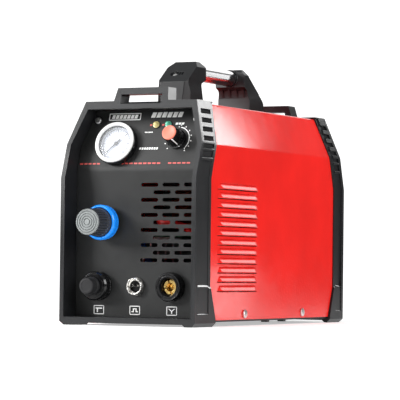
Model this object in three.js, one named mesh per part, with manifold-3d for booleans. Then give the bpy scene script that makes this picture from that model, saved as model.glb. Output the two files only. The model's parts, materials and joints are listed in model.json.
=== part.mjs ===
// Portable inverter plasma cutter.
// A steel wrap cover stands between two raked moulded bezels; a tube handle sits on top.
// Millimetres, +Z up, -Y is the control side, +X is the operator's right.
// The origin is on the floor, midway between the bezels.

import * as THREE from 'three';
import { mergeVertices } from 'three/addons/utils/BufferGeometryUtils.js';
import { ConvexGeometry } from 'three/addons/geometries/ConvexGeometry.js';
import Module from 'manifold-3d';

const wasm = await Module();
wasm.setup();

// ---------------------------------------------------------------- driving dimensions

const BODY_WIDTH = 155;
const BODY_LENGTH = 376;
const BODY_TOP = 230;
const RAKE_START = 150;
const RAKE_ANGLE = THREE.MathUtils.degToRad(18.4);
const SHOULDER = 185.5;
const SHOULDER_INSET = 13.5;
const GAP = 0.3;
const SHEET = 1.5;
const PAST = 1;

const HALF = BODY_WIDTH / 2;
const FRONT = -BODY_LENGTH / 2;
const REAR = BODY_LENGTH / 2;
const RAKE = Math.tan(RAKE_ANGLE);

const BEZEL_WALL = 4.7;
const BEZEL_HEAD = 8.3;
const BEZEL_SILL = 8.4;
const BEZEL_INNER_TOP_INSET = 17.5;
const FRONT_BEZEL_DEPTH = 37;
const REAR_BEZEL_DEPTH = 26;
const FOOT_FLARE = 11;
const FOOT_FLARE_START = 38;
const FOOT_HEIGHT = 7;
const FOOT_WIDTH = 12;
const FOOT_RISE = 2.5;
const FOOT_CHAMFER = 4;

const RIB_FIRST = 221.2;
const RIB_PITCH = 9.4;
const RIB_HEIGHT = 5.2;
const RIB_COUNT = 4;
const RIB_DEPTH = 2.4;
const RIB_SLOPE = 1.8;
const SIDE_BANDS = [
  { low: 179.5, high: 184.8, depth: RIB_DEPTH, slope: RIB_SLOPE },
  { low: 170.3, high: 177.8, depth: RIB_DEPTH, slope: RIB_SLOPE },
  { low: 40.5, high: 168.3, depth: 1.6, slope: RIB_SLOPE },
  { low: 13, high: 40.6, depth: 0.7, slope: 0.7 },
];
const BAND_FRONT = 6;
const BAND_BACK = 6;
const BACK_BAND_DEPTH = 1.2;

const LOOP_HALF_BASE = 32;
const LOOP_HALF_TOP = 29;
const LOOP_TOP = 243.7;
const LOOP_DEPTH = 18;
const LOOP_SLOT_HALF = 23.5;
const LOOP_SLOT_LOW = 227;
const LOOP_SLOT_HIGH = 236.8;

const FRONT_RECESS = 25;
const REAR_RECESS = 20;
const PANEL_BEND = 160;

const COVER_INSET = 2.2;
const COVER_BOTTOM = 6.6;
const LOUVRE_COUNT = 12;
const LOUVRE_TOP = 146.5;
const LOUVRE_PITCH = 9.5;
const LOUVRE_HEIGHT = 5.8;
const LOUVRE_OUT = 2.2;
const LOUVRE_FROM = -133.5;
const LOUVRE_TO = -38;
const LOUVRE_END = 5;
const LOUVRE_SKIN = 0.9;
const HANDLE_HOLE_REACH = 116;
const HANDLE_HOLE_RADIUS = 2.4;

const TRAY_BOTTOM = 4.8;
const TRAY_FLANGE = 20;
const SIDE_SCREW_Y = [-68.4, 77.8];
const SIDE_SCREW_Z = 12.5;
const SCREW_CLEARANCE = 2;
const PAD_Y = [-3, 39];
const PAD_HALF = 3;
const PAD_WIDTH = 7;
const PAD_DROP = 1.8;

const TUBE_RADIUS = 8.5;
const TUBE_WALL = 1.5;
const TUBE_HEIGHT = 267.8;
const TUBE_INSERTION = 6;
const TOWER_TOP = 277.8;
const TOWER_HALF = 17.5;

const VENT_ROWS = 11;
const VENT_TOP = 143.7;
const VENT_PITCH = 7.67;
const VENT_HEIGHT = 3.6;
const VENT_SPANS = [
  [[2.4, 22], [26.9, 46.5], [51.4, 62]],
  [[16.7, 36.3], [41.2, 60.8]],
];

const SOCKET_HEIGHT = 40;
const TORCH_X = -44.9;
const CONTROL_X = -2;
const WORK_X = 39.1;
const REGULATOR_X = -37;
const REGULATOR_HEIGHT = 105;
const KNOB_OVERHANG = 17;
const GAUGE_X = -29.5;
const GAUGE_HEIGHT = 185.1;
const GAUGE_RADIUS = 22;
const AMP_X = 38;
const AMP_HEIGHT = 190;
const LAMP_X = { lamp_fault: 11.5, lamp_power: 25.5 };
const LAMP_HEIGHT = 205.5;
const PANEL_SCREW_X = 57;
const PANEL_SCREW_HEIGHT = 211;

const FAN_HEIGHT = 98;
const FAN_SIZE = 92;
const FAN_DEPTH = 25;
const FAN_BLADES = 7;
const INLET_X = 40;
const GLAND_X = -42;
const REAR_SERVICE_HEIGHT = 30;
const SWITCH_X = 34;
const SWITCH_HEIGHT = 192;

const ARC_STEPS = 2;
const CABLE_SIDES = 4;
const ROUND = 20;
const HOLE_ROUND = 12;
const SCREW_ROUND = 10;
const SCREW_HOLE_ROUND = 8;
const BAND_OVERLAP = 0.2;
const MERGE_DISTANCE = 1e-5;

// ---------------------------------------------------------------- directions and stations

const X_AXIS = new THREE.Vector3(1, 0, 0);
const Y_AXIS = new THREE.Vector3(0, 1, 0);
const Z_AXIS = new THREE.Vector3(0, 0, 1);
const ALONG_X = new THREE.Matrix4().makeBasis(Y_AXIS, Z_AXIS, X_AXIS);
const ALONG_Y = new THREE.Matrix4().makeBasis(X_AXIS, Z_AXIS, Y_AXIS.clone().negate());

// How far the raked faces stand back at a height.
function rakeAt(z) {
  return Math.max(0, z - RAKE_START) * RAKE;
}

// A station is a frame on a panel's outer face: local X across, local Y up the panel, local Z out.
function station(x, z, lift, tilt, faceY, outward) {
  const across = X_AXIS.clone().multiplyScalar(-outward);
  const up = new THREE.Vector3(0, -outward * Math.sin(tilt), Math.cos(tilt));
  const out = new THREE.Vector3(0, outward * Math.cos(tilt), Math.sin(tilt));
  const frame = new THREE.Matrix4().makeBasis(across, up, out);
  frame.setPosition(x + out.x * lift, faceY + out.y * lift, z + out.z * lift);
  return frame;
}

// Front panel: flat below the bend, tilted back above it.
function frontLower(x, z, lift = 0) {
  return station(x, z, lift, 0, FRONT + FRONT_RECESS, -1);
}

function frontUpper(x, z, lift = 0) {
  const faceY = FRONT + FRONT_RECESS + (z - PANEL_BEND) * RAKE;
  return station(x, z, lift, RAKE_ANGLE, faceY, -1);
}

function rearLower(x, z, lift = 0) {
  return station(x, z, lift, 0, REAR - REAR_RECESS, 1);
}

function rearUpper(x, z, lift = 0) {
  const faceY = REAR - REAR_RECESS - (z - PANEL_BEND) * RAKE;
  return station(x, z, lift, RAKE_ANGLE, faceY, 1);
}

// A frame whose local Z stays upright.
function upright(x, y, z = 0) {
  return new THREE.Matrix4().setPosition(x, y, z);
}

// ---------------------------------------------------------------- solids

function solidFrom(geometry) {
  geometry.deleteAttribute('normal');
  geometry.deleteAttribute('uv');
  const merged = mergeVertices(geometry, MERGE_DISTANCE);
  const mesh = new wasm.Mesh({
    numProp: 3,
    vertProperties: new Float32Array(merged.attributes.position.array),
    triVerts: new Uint32Array(merged.index.array),
  });
  return new wasm.Manifold(mesh);
}

function geometryFrom(solid) {
  const mesh = solid.getMesh();
  const geometry = new THREE.BufferGeometry();
  geometry.setAttribute('position', new THREE.BufferAttribute(new Float32Array(mesh.vertProperties), 3));
  geometry.setIndex(new THREE.BufferAttribute(new Uint32Array(mesh.triVerts), 1));
  geometry.computeVertexNormals();
  return geometry;
}

function outline(points) {
  return new THREE.Shape(points.map(([a, b]) => new THREE.Vector2(a, b)));
}

function extruded(shape, depth) {
  return new THREE.ExtrudeGeometry(shape, { depth, bevelEnabled: false, curveSegments: ARC_STEPS });
}

// An outline in (x, z), extruded along Y.
function prismY(points, yFrom, yTo) {
  const geometry = extruded(outline(points), yTo - yFrom);
  geometry.applyMatrix4(ALONG_Y);
  geometry.translate(0, yTo, 0);
  return solidFrom(geometry);
}

// An outline in (y, z), extruded along X.
function prismX(points, xFrom, xTo) {
  const geometry = extruded(outline(points), xTo - xFrom);
  geometry.applyMatrix4(ALONG_X);
  geometry.translate(xFrom, 0, 0);
  return solidFrom(geometry);
}

// An outline in (x, y), extruded along Z.
function prismZ(points, zFrom, zTo) {
  const geometry = extruded(outline(points), zTo - zFrom);
  geometry.translate(0, 0, zFrom);
  return solidFrom(geometry);
}

function block(x0, x1, y0, y1, z0, z1) {
  const geometry = new THREE.BoxGeometry(x1 - x0, y1 - y0, z1 - z0);
  geometry.translate((x0 + x1) / 2, (y0 + y1) / 2, (z0 + z1) / 2);
  return solidFrom(geometry);
}

// A turned shape: profile points are [radius, distance along the local Z axis].
function turned(profile, frame, steps = ROUND) {
  const points = profile.map(([radius, along]) => new THREE.Vector2(radius, along));
  const geometry = new THREE.LatheGeometry(points, steps);
  geometry.rotateX(Math.PI / 2);
  geometry.applyMatrix4(frame);
  return solidFrom(geometry);
}

function disc(radius, from, to, frame, steps = ROUND) {
  return turned([[0, from], [radius, from], [radius, to], [0, to]], frame, steps);
}

function ring(inner, outer, from, to, frame, steps = ROUND) {
  const profile = [[inner, from], [outer, from], [outer, to], [inner, to], [inner, from]];
  return turned(profile, frame, steps);
}

function joined(solids) {
  return solids.reduce((whole, next) => whole.add(next));
}

// A closed tube along a curve, for hoses and leads.
function cable(points, radius, steps) {
  const path = new THREE.CatmullRomCurve3(points.map((p) => new THREE.Vector3(...p)));
  const section = new THREE.Shape();
  section.absarc(0, 0, radius, 0, 2 * Math.PI);
  const options = { steps, bevelEnabled: false, extrudePath: path, curveSegments: CABLE_SIDES };
  return solidFrom(new THREE.ExtrudeGeometry(section, options));
}

// ---------------------------------------------------------------- finishes and nodes

const FINISHES = {
  black_plastic: { color: 0x2e2f31, roughness: 0.6, metalness: 0 },
  panel_black: { color: 0x333436, roughness: 0.55, metalness: 0.2 },
  red_paint: { color: 0xe62a22, roughness: 0.35, metalness: 0.1 },
  black_steel: { color: 0x222326, roughness: 0.5, metalness: 0.4 },
  chrome: { color: 0xe6e7ea, roughness: 0.08, metalness: 1 },
  zinc: { color: 0xc4c5c6, roughness: 0.3, metalness: 1 },
  blue_plastic: { color: 0x1787e8, roughness: 0.4, metalness: 0 },
  grey_plastic: { color: 0x55585c, roughness: 0.55, metalness: 0 },
  knob_black: { color: 0x111214, roughness: 0.35, metalness: 0 },
  white_plastic: { color: 0xf3f3f0, roughness: 0.35, metalness: 0 },
  needle_black: { color: 0x1a1a1a, roughness: 0.4, metalness: 0 },
  clear_glass: { color: 0xf2f6f8, roughness: 0.05, metalness: 0 },
  amber_lens: { color: 0xf2e05a, roughness: 0.2, metalness: 0 },
  green_lens: { color: 0x6fe0a8, roughness: 0.2, metalness: 0 },
  brass: { color: 0xc99a3d, roughness: 0.3, metalness: 1 },
  nickel: { color: 0xd5d0c4, roughness: 0.22, metalness: 1 },
  rubber: { color: 0x17181a, roughness: 0.8, metalness: 0 },
  aluminium: { color: 0xb6b9bd, roughness: 0.4, metalness: 1 },
  circuit_board: { color: 0x1f6b3a, roughness: 0.5, metalness: 0 },
  copper: { color: 0xb4622f, roughness: 0.35, metalness: 1 },
  ferrite: { color: 0x3b3a3d, roughness: 0.7, metalness: 0 },
  capacitor_sleeve: { color: 0x1d2f6d, roughness: 0.35, metalness: 0 },
  red_plastic: { color: 0xb0161a, roughness: 0.5, metalness: 0 },
  orange_plastic: { color: 0xe8643c, roughness: 0.5, metalness: 0 },
  blue_hose: { color: 0x2b62b8, roughness: 0.35, metalness: 0 },
};

const unit = new THREE.Group();

function addPart(name, solid, finish) {
  const mesh = new THREE.Mesh(geometryFrom(solid), new THREE.MeshStandardMaterial(FINISHES[finish]));
  mesh.name = name;
  unit.add(mesh);
  return mesh;
}

// ---------------------------------------------------------------- bezels

function mirrored(points) {
  return points.map(([x, z]) => [-x, z]).reverse();
}

// A point on the bezel's side at a height, sunk by a depth square to the surface.
function sidePoint(z, depth) {
  if (z <= SHOULDER) return [HALF - depth, z];
  const slope = SHOULDER_INSET / (BODY_TOP - SHOULDER);
  const length = Math.hypot(1, slope);
  const x = HALF - (z - SHOULDER) * slope;
  return [x - depth / length, z - (depth * slope) / length];
}

// One recess in the bezel's side: square at its top edge, sloped at its bottom edge.
function recessOutline(zLow, zHigh, depth, slope) {
  return [
    sidePoint(zLow, -PAST),
    sidePoint(zHigh, -PAST),
    sidePoint(zHigh, depth),
    sidePoint(zLow + slope, depth),
    sidePoint(zLow, 0),
  ];
}

function sideRecesses() {
  const recesses = [];
  for (let rib = 0; rib < RIB_COUNT; rib += 1) {
    const high = RIB_FIRST - rib * RIB_PITCH;
    recesses.push(recessOutline(high - RIB_HEIGHT, high, RIB_DEPTH, RIB_SLOPE));
  }
  const bands = SIDE_BANDS.map((band) => recessOutline(band.low, band.high, band.depth, band.slope));
  return [...recesses, ...bands];
}

// A strip that follows the rake, between two distances behind the bezel's front edge.
function rakedBand(from, to, zLow, zHigh, halfWidth) {
  const heights = [zLow, RAKE_START, zHigh].filter((z) => z === zHigh || z >= zLow);
  const back = heights.map((z) => [FRONT + to + rakeAt(z), z]);
  const front = heights.map((z) => [FRONT + from + rakeAt(z), z]).reverse();
  return prismX([...back, ...front], -halfWidth, halfWidth);
}

function bezelFace() {
  const foot = HALF - FOOT_WIDTH;
  const right = [
    [foot - FOOT_RISE, FOOT_RISE],
    [foot, 0],
    [HALF - FOOT_CHAMFER, 0],
    [HALF, FOOT_CHAMFER],
    [HALF, SHOULDER],
    [HALF - SHOULDER_INSET, BODY_TOP],
  ];
  return [...right, ...mirrored(right)];
}

function bezelOpening(clearance) {
  const side = HALF - BEZEL_WALL - clearance;
  const top = BODY_TOP - BEZEL_HEAD - clearance;
  const right = [
    [side, BEZEL_SILL + clearance],
    [side, SHOULDER - PAST],
    [HALF - BEZEL_INNER_TOP_INSET - clearance, top],
  ];
  return [...right, ...mirrored(right)];
}

function bezelSideView(depth) {
  const above = BODY_TOP + PAST;
  const foot = depth + FOOT_FLARE;
  return [
    [FRONT, FOOT_CHAMFER],
    [FRONT + FOOT_CHAMFER / 2, 0],
    [FRONT + foot, 0],
    [FRONT + foot, FOOT_HEIGHT],
    [FRONT + depth, FOOT_FLARE_START],
    [FRONT + depth, RAKE_START],
    [FRONT + depth + rakeAt(above), above],
    [FRONT + rakeAt(above), above],
    [FRONT, RAKE_START],
  ];
}

function bezelLoop() {
  const base = BODY_TOP - BEZEL_HEAD / 2;
  const face = prismY([
    [-LOOP_HALF_BASE, base],
    [LOOP_HALF_BASE, base],
    [LOOP_HALF_TOP, LOOP_TOP],
    [-LOOP_HALF_TOP, LOOP_TOP],
  ], FRONT, 0);
  const loop = face.intersect(rakedBand(0, LOOP_DEPTH, base - PAST, LOOP_TOP + PAST, HALF));
  return loop.subtract(loopSlot(LOOP_SLOT_HIGH));
}

function loopSlot(top) {
  return block(-LOOP_SLOT_HALF, LOOP_SLOT_HALF, FRONT, 0, LOOP_SLOT_LOW, top);
}

// The slot's floor is sunk a little into the bezel's top.
function loopSlotFloor() {
  const band = rakedBand(-PAST, LOOP_DEPTH, LOOP_SLOT_LOW - PAST, BODY_TOP + PAST, HALF);
  return loopSlot(BODY_TOP + PAST).intersect(band);
}

function bezel(depth) {
  const behind = FRONT + depth + rakeAt(BODY_TOP) + PAST;
  let body = prismY(bezelFace(), FRONT - PAST, behind + FOOT_FLARE);
  body = body.intersect(prismX(bezelSideView(depth), -HALF - PAST, HALF + PAST));
  body = body.subtract(prismY(bezelOpening(0), FRONT - 2 * PAST, behind + 2 * FOOT_FLARE));
  const wall = HALF - BEZEL_WALL;
  body = body.subtract(block(-wall, wall, FRONT + depth, behind, -PAST, BEZEL_SILL + PAST));

  const across = HALF + 2 * PAST;
  const ribBand = rakedBand(BAND_FRONT, depth - BAND_BACK, 0, BODY_TOP, across);
  const backBand = rakedBand(depth - BAND_BACK - BAND_OVERLAP, depth + PAST, 0, BODY_TOP, across);
  const backRecess = recessOutline(FOOT_FLARE_START + PAST, SHOULDER, BACK_BAND_DEPTH, RIB_SLOPE);
  const backShoulder = [
    sidePoint(SHOULDER - PAST, -PAST),
    sidePoint(BODY_TOP - PAST, -PAST),
    sidePoint(BODY_TOP - PAST, BACK_BAND_DEPTH),
    sidePoint(SHOULDER - PAST, BACK_BAND_DEPTH),
  ];
  const recesses = sideRecesses();
  const cut = (points) => prismY(points, FRONT - PAST, behind);
  const ribs = joined([...recesses, ...recesses.map(mirrored)].map(cut));
  const back = joined([backRecess, backShoulder, mirrored(backRecess), mirrored(backShoulder)].map(cut));
  body = body.subtract(ribs.intersect(ribBand)).subtract(back.intersect(backBand));
  return body.subtract(loopSlotFloor()).add(bezelLoop());
}

addPart('front_bezel', bezel(FRONT_BEZEL_DEPTH), 'black_plastic');
addPart('rear_bezel', bezel(REAR_BEZEL_DEPTH), 'black_plastic').rotation.z = Math.PI;

// ---------------------------------------------------------------- panels

// A bent sheet that fills the bezel's opening, upright below the bend and raked above it.
// It is drawn for the front; the rear panel turns it half way round.
function panelBlank(recess) {
  const face = FRONT + recess;
  const top = BODY_TOP;
  const lean = (top - PANEL_BEND) * RAKE;
  const side = prismX([
    [face, 0],
    [face + SHEET, 0],
    [face + SHEET, PANEL_BEND],
    [face + SHEET + lean, top],
    [face + lean, top],
    [face, PANEL_BEND],
  ], -HALF, HALF);
  return side.intersect(prismY(bezelOpening(GAP), FRONT, 0));
}

// A slot with round ends, cut along Y.
function slot(xFrom, xTo, z, yFrom, yTo) {
  const radius = VENT_HEIGHT / 2;
  const shape = new THREE.Shape();
  shape.absarc(xTo - radius, z, radius, -Math.PI / 2, Math.PI / 2);
  shape.absarc(xFrom + radius, z, radius, Math.PI / 2, (3 * Math.PI) / 2);
  const geometry = extruded(shape, yTo - yFrom);
  geometry.applyMatrix4(ALONG_Y);
  geometry.translate(0, yTo, 0);
  return solidFrom(geometry);
}

function frontVents() {
  const near = FRONT + FRONT_RECESS - PAST;
  const far = near + SHEET + 2 * PAST;
  const slots = [];
  for (let row = 0; row < VENT_ROWS; row += 1) {
    const z = VENT_TOP - row * VENT_PITCH;
    slots.push(...VENT_SPANS[row % 2].map(([from, to]) => slot(from, to, z, near, far)));
  }
  return joined(slots);
}

// Radii of the holes that the fittings pass through.
const HOLE = {
  torch: 11.4, control: 7.6, work: 12.4, regulator: 10.4, gauge: 20.4, amp: 4, lamp: 2.8,
  screw: 1.9, gland: 8.8, inlet: 7.2, earth: 3.6,
};

function punch(radius, frame) {
  return disc(radius, -2 * SHEET, PAST, frame, HOLE_ROUND);
}

function frontPanel() {
  const holes = [
    frontVents(),
    punch(HOLE.torch, frontLower(TORCH_X, SOCKET_HEIGHT)),
    punch(HOLE.control, frontLower(CONTROL_X, SOCKET_HEIGHT)),
    punch(HOLE.work, frontLower(WORK_X, SOCKET_HEIGHT)),
    punch(HOLE.regulator, frontLower(REGULATOR_X, REGULATOR_HEIGHT)),
    punch(HOLE.gauge, frontUpper(GAUGE_X, GAUGE_HEIGHT)),
    punch(HOLE.amp, frontUpper(AMP_X, AMP_HEIGHT)),
    ...Object.values(LAMP_X).map((x) => punch(HOLE.lamp, frontUpper(x, LAMP_HEIGHT))),
    punch(HOLE.screw, frontUpper(-PANEL_SCREW_X, PANEL_SCREW_HEIGHT)),
    punch(HOLE.screw, frontUpper(PANEL_SCREW_X, PANEL_SCREW_HEIGHT)),
  ];
  return panelBlank(FRONT_RECESS).subtract(joined(holes));
}

const FAN_GRILLE_RADIUS = 41;
const FAN_GRILLE_ROWS = 11;

// Rows of slots that fill the fan's circle, with a web down the middle.
function fanSlots() {
  const web = 3;
  const near = REAR - REAR_RECESS - SHEET - PAST;
  const far = near + SHEET + 2 * PAST;
  const slots = [];
  for (let row = 0; row < FAN_GRILLE_ROWS; row += 1) {
    const z = (row - (FAN_GRILLE_ROWS - 1) / 2) * VENT_PITCH;
    const half = Math.sqrt(FAN_GRILLE_RADIUS ** 2 - z ** 2);
    slots.push(slot(web, half, FAN_HEIGHT + z, near, far));
    slots.push(slot(-half, -web, FAN_HEIGHT + z, near, far));
  }
  return joined(slots);
}

function rearPanel() {
  const blank = new THREE.Mesh(geometryFrom(panelBlank(REAR_RECESS)));
  blank.geometry.rotateZ(Math.PI);
  const holes = [
    fanSlots(),
    punch(HOLE.gland, rearLower(GLAND_X, REAR_SERVICE_HEIGHT)),
    punch(HOLE.inlet, rearLower(INLET_X, REAR_SERVICE_HEIGHT)),
    punch(HOLE.earth, rearLower(0, REAR_SERVICE_HEIGHT)),
    switchHole(),
    punch(HOLE.screw, rearUpper(-PANEL_SCREW_X, PANEL_SCREW_HEIGHT)),
    punch(HOLE.screw, rearUpper(PANEL_SCREW_X, PANEL_SCREW_HEIGHT)),
  ];
  return solidFrom(blank.geometry).subtract(joined(holes));
}

function stationBlock(frame, halfX, halfY, from, to) {
  const geometry = new THREE.BoxGeometry(2 * halfX, 2 * halfY, to - from);
  geometry.translate(0, 0, (from + to) / 2);
  geometry.applyMatrix4(frame);
  return solidFrom(geometry);
}

const SWITCH_CAN = { halfX: 10.4, halfY: 13.6 };

function switchHole() {
  const frame = rearUpper(SWITCH_X, SWITCH_HEIGHT);
  return stationBlock(frame, SWITCH_CAN.halfX + GAP, SWITCH_CAN.halfY + GAP, -2 * SHEET, PAST);
}

addPart('front_panel', frontPanel(), 'panel_black');
addPart('rear_panel', rearPanel(), 'panel_black');

// ---------------------------------------------------------------- cover and tray

function coverShell(inset) {
  const side = HALF - inset;
  const right = [
    [side, inset > COVER_INSET ? -PAST : COVER_BOTTOM],
    [side, SHOULDER - inset / 3],
    [side - SHOULDER_INSET, BODY_TOP - inset],
  ];
  return [...right, ...mirrored(right)];
}

// The cover's ends run parallel to the bezels and step back over their feet.
function coverSideView() {
  const front = FRONT + FRONT_BEZEL_DEPTH + GAP;
  const rear = REAR - REAR_BEZEL_DEPTH - GAP;
  const top = BODY_TOP;
  const flare = FOOT_FLARE + GAP;
  return [
    [front + flare, COVER_BOTTOM - PAST],
    [front + flare, FOOT_HEIGHT + PAST],
    [front, FOOT_FLARE_START + PAST],
    [front, RAKE_START],
    [front + rakeAt(top), top],
    [rear - rakeAt(top), top],
    [rear, RAKE_START],
    [rear, FOOT_FLARE_START + PAST],
    [rear - flare, FOOT_HEIGHT + PAST],
    [rear - flare, COVER_BOTTOM - PAST],
  ].reverse();
}

// A pressed louvre: flush along its top edge and open along its bottom edge.
function louvreWedge(side, zTop, inset, deep) {
  const sheet = HALF - COVER_INSET;
  const root = sheet - deep;
  const lip = sheet + LOUVRE_OUT - inset;
  const y0 = LOUVRE_FROM + inset;
  const y1 = LOUVRE_TO - inset;
  const high = zTop - inset;
  const low = zTop - LOUVRE_HEIGHT - (inset > 0 ? inset / 2 : 0);
  const points = [
    [root, y0, high], [root, y1, high], [root, y0, low], [root, y1, low],
    [sheet, y0, high], [sheet, y1, high], [sheet, y0, low], [sheet, y1, low],
    [lip, y0 + LOUVRE_END, low], [lip, y1 - LOUVRE_END, low],
  ];
  return solidFrom(new ConvexGeometry(points.map(([x, y, z]) => new THREE.Vector3(side * x, y, z))));
}

function sideScrewHoles(radius) {
  const along = new THREE.Matrix4().makeBasis(Y_AXIS, Z_AXIS, X_AXIS);
  return joined(SIDE_SCREW_Y.map((y) => {
    const frame = along.clone().setPosition(0, y, SIDE_SCREW_Z);
    return disc(radius, -HALF, HALF, frame, SCREW_HOLE_ROUND);
  }));
}

// The holes that the handle's towers are fixed through.
function handleHoles() {
  const low = BODY_TOP - PAST - 2 * COVER_INSET - SHEET;
  const holes = [FRONT + HANDLE_HOLE_REACH, REAR - HANDLE_HOLE_REACH].map((y) => (
    disc(HANDLE_HOLE_RADIUS, low, BODY_TOP, upright(0, y), SCREW_HOLE_ROUND)
  ));
  return joined(holes);
}

function topCover() {
  const outer = prismY(coverShell(COVER_INSET), FRONT, REAR);
  const inner = prismY(coverShell(COVER_INSET + SHEET), FRONT - PAST, REAR + PAST);
  let shell = outer.subtract(inner);
  shell = shell.intersect(prismX(coverSideView(), -HALF - PAST, HALF + PAST));
  const skins = [];
  const hollows = [];
  for (const side of [-1, 1]) {
    for (let index = 0; index < LOUVRE_COUNT; index += 1) {
      const top = LOUVRE_TOP - index * LOUVRE_PITCH;
      skins.push(louvreWedge(side, top, 0, PAST));
      hollows.push(louvreWedge(side, top, LOUVRE_SKIN, 2 * SHEET));
    }
  }
  shell = shell.add(joined(skins)).subtract(joined(hollows));
  return shell.subtract(sideScrewHoles(SCREW_CLEARANCE)).subtract(handleHoles());
}

function baseTray() {
  const half = HALF - COVER_INSET - SHEET - GAP;
  const narrow = HALF - BEZEL_WALL - GAP;
  const front = FRONT + FRONT_BEZEL_DEPTH + GAP;
  const rear = REAR - REAR_BEZEL_DEPTH - GAP;
  const frontWide = front + FOOT_FLARE + PAST;
  const rearWide = rear - FOOT_FLARE - PAST;
  const tongue = BEZEL_SILL + GAP;
  const plan = [
    [-narrow, front], [narrow, front], [narrow, frontWide], [half, frontWide],
    [half, rearWide], [narrow, rearWide], [narrow, rear], [-narrow, rear],
    [-narrow, rearWide], [-half, rearWide], [-half, frontWide], [-narrow, frontWide],
  ];
  const frontTongue = FRONT + FRONT_RECESS + SHEET + GAP;
  const rearTongue = REAR - REAR_RECESS - SHEET - GAP;
  const pieces = [
    prismZ(plan, TRAY_BOTTOM, TRAY_BOTTOM + SHEET),
    block(half - SHEET, half, frontWide, rearWide, TRAY_BOTTOM, TRAY_FLANGE),
    block(-half, -half + SHEET, frontWide, rearWide, TRAY_BOTTOM, TRAY_FLANGE),
    block(-narrow, narrow, front, front + SHEET, TRAY_BOTTOM, tongue + SHEET),
    block(-narrow, narrow, rear - SHEET, rear, TRAY_BOTTOM, tongue + SHEET),
    block(-narrow, narrow, frontTongue, front + SHEET, tongue, tongue + SHEET),
    block(-narrow, narrow, rear - SHEET, rearTongue, tongue, tongue + SHEET),
    block(-narrow, narrow, frontTongue, frontTongue + SHEET, tongue, TRAY_FLANGE - PAST),
    block(-narrow, narrow, rearTongue - SHEET, rearTongue, tongue, TRAY_FLANGE - PAST),
  ];
  for (const y of PAD_Y) {
    const outer = half - PAST;
    const inner = outer - PAD_WIDTH;
    const low = TRAY_BOTTOM - PAD_DROP;
    const high = TRAY_BOTTOM + SHEET / 2;
    pieces.push(block(inner, outer, y - PAD_HALF, y + PAD_HALF, low, high));
    pieces.push(block(-outer, -inner, y - PAD_HALF, y + PAD_HALF, low, high));
  }
  return joined(pieces).subtract(sideScrewHoles(HOLE.screw));
}

addPart('top_cover', topCover(), 'red_paint');
addPart('base_tray', baseTray(), 'black_steel');

// ---------------------------------------------------------------- screws

const SIDE_SCREW = { head: 4.3, height: 1.8, length: 9 };
const PANEL_SCREW = { head: 3.6, height: 2, length: 7 };
const HANDLE_SCREW = { head: 3.6, height: 2, length: 12 };
const SHANK_RADIUS = 1.5;
const HEAD_EDGE = 0.45;
const HEAD_CROWN = 0.62;

// A pan-head screw; local +Z points out of the surface that it holds.
function panScrew(frame, { head, height, length }) {
  const profile = [
    [0, -length],
    [SHANK_RADIUS, -length],
    [SHANK_RADIUS, GAP],
    [head, GAP],
    [head, GAP + height * HEAD_EDGE],
    [head * HEAD_CROWN, GAP + height],
    [0, GAP + height],
  ];
  return turned(profile, frame, SCREW_ROUND);
}

for (const side of [-1, 1]) {
  SIDE_SCREW_Y.forEach((y, index) => {
    const out = X_AXIS.clone().multiplyScalar(side);
    const frame = new THREE.Matrix4().makeBasis(Y_AXIS.clone().multiplyScalar(side), Z_AXIS, out);
    frame.setPosition(side * (HALF - COVER_INSET), y, SIDE_SCREW_Z);
    const name = `side_screw_${side > 0 ? 'right' : 'left'}_${index + 1}`;
    addPart(name, panScrew(frame, SIDE_SCREW), 'zinc');
  });
}

for (const side of [-1, 1]) {
  const hand = side > 0 ? 'right' : 'left';
  const front = panScrew(frontUpper(side * PANEL_SCREW_X, PANEL_SCREW_HEIGHT), PANEL_SCREW);
  const rear = panScrew(rearUpper(side * PANEL_SCREW_X, PANEL_SCREW_HEIGHT), PANEL_SCREW);
  addPart(`front_panel_screw_${hand}`, front, 'zinc');
  addPart(`rear_panel_screw_${hand}`, rear, 'zinc');
}

// ---------------------------------------------------------------- handle

// Side outlines of the towers: [distance from the body's own end, height].
const TOWER_BASE = BODY_TOP - COVER_INSET + GAP;
const FRONT_TOWER = [
  [94, TOWER_BASE], [96.5, 254.5], [122, 274], [127, TOWER_TOP], [136, TOWER_TOP],
  [141, 273.5], [141, 258.5], [131, 254.5], [129, 246], [133, TOWER_BASE],
];
const REAR_TOWER = [
  [87, TOWER_BASE], [90, 238], [103.5, 253.5], [129, 270.5], [133, TOWER_TOP], [137, TOWER_TOP],
  [141, 274.5], [141, 258.5], [134, 255], [131, 247], [130.5, TOWER_BASE],
];
const TOWER_REACH = 141;
const TOWER_BEVEL = 5.5;
const TOWER_FLARE = 2;

function towerEndView() {
  const right = [
    [TOWER_HALF + TOWER_FLARE, TOWER_BASE],
    [TOWER_HALF + 1.5, 246],
    [TOWER_HALF, 252],
    [TOWER_HALF, 271.5],
    [12, TOWER_TOP],
  ];
  return [...right, ...mirrored(right)];
}

function towerPlan(outer) {
  const wide = TOWER_HALF + TOWER_FLARE;
  const flat = TOWER_HALF - TOWER_BEVEL;
  const shoulder = outer + TOWER_BEVEL + TOWER_FLARE;
  return [
    [-flat, outer], [flat, outer], [wide, shoulder],
    [wide, TOWER_REACH], [-wide, TOWER_REACH], [-wide, shoulder],
  ].map(([x, y]) => [x, FRONT + y]);
}

// The facet on the tower's outer side carries the fixing screw in a round pocket.
function facetFrame(facet, x) {
  const [[y0, z0], [y1, z1]] = facet;
  const tilt = Math.atan2(y1 - y0, z1 - z0);
  return station(x, (z0 + z1) / 2, 0, tilt, FRONT + (y0 + y1) / 2, -1);
}

const POCKET_DEPTH = 4;
const POCKET_RADIUS = 4.6;
const SCREW_OFFSET = -4;
const GRIP_SLOT_X = [2.5, 5.5];
const TUBE_ROUND = 24;

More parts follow.
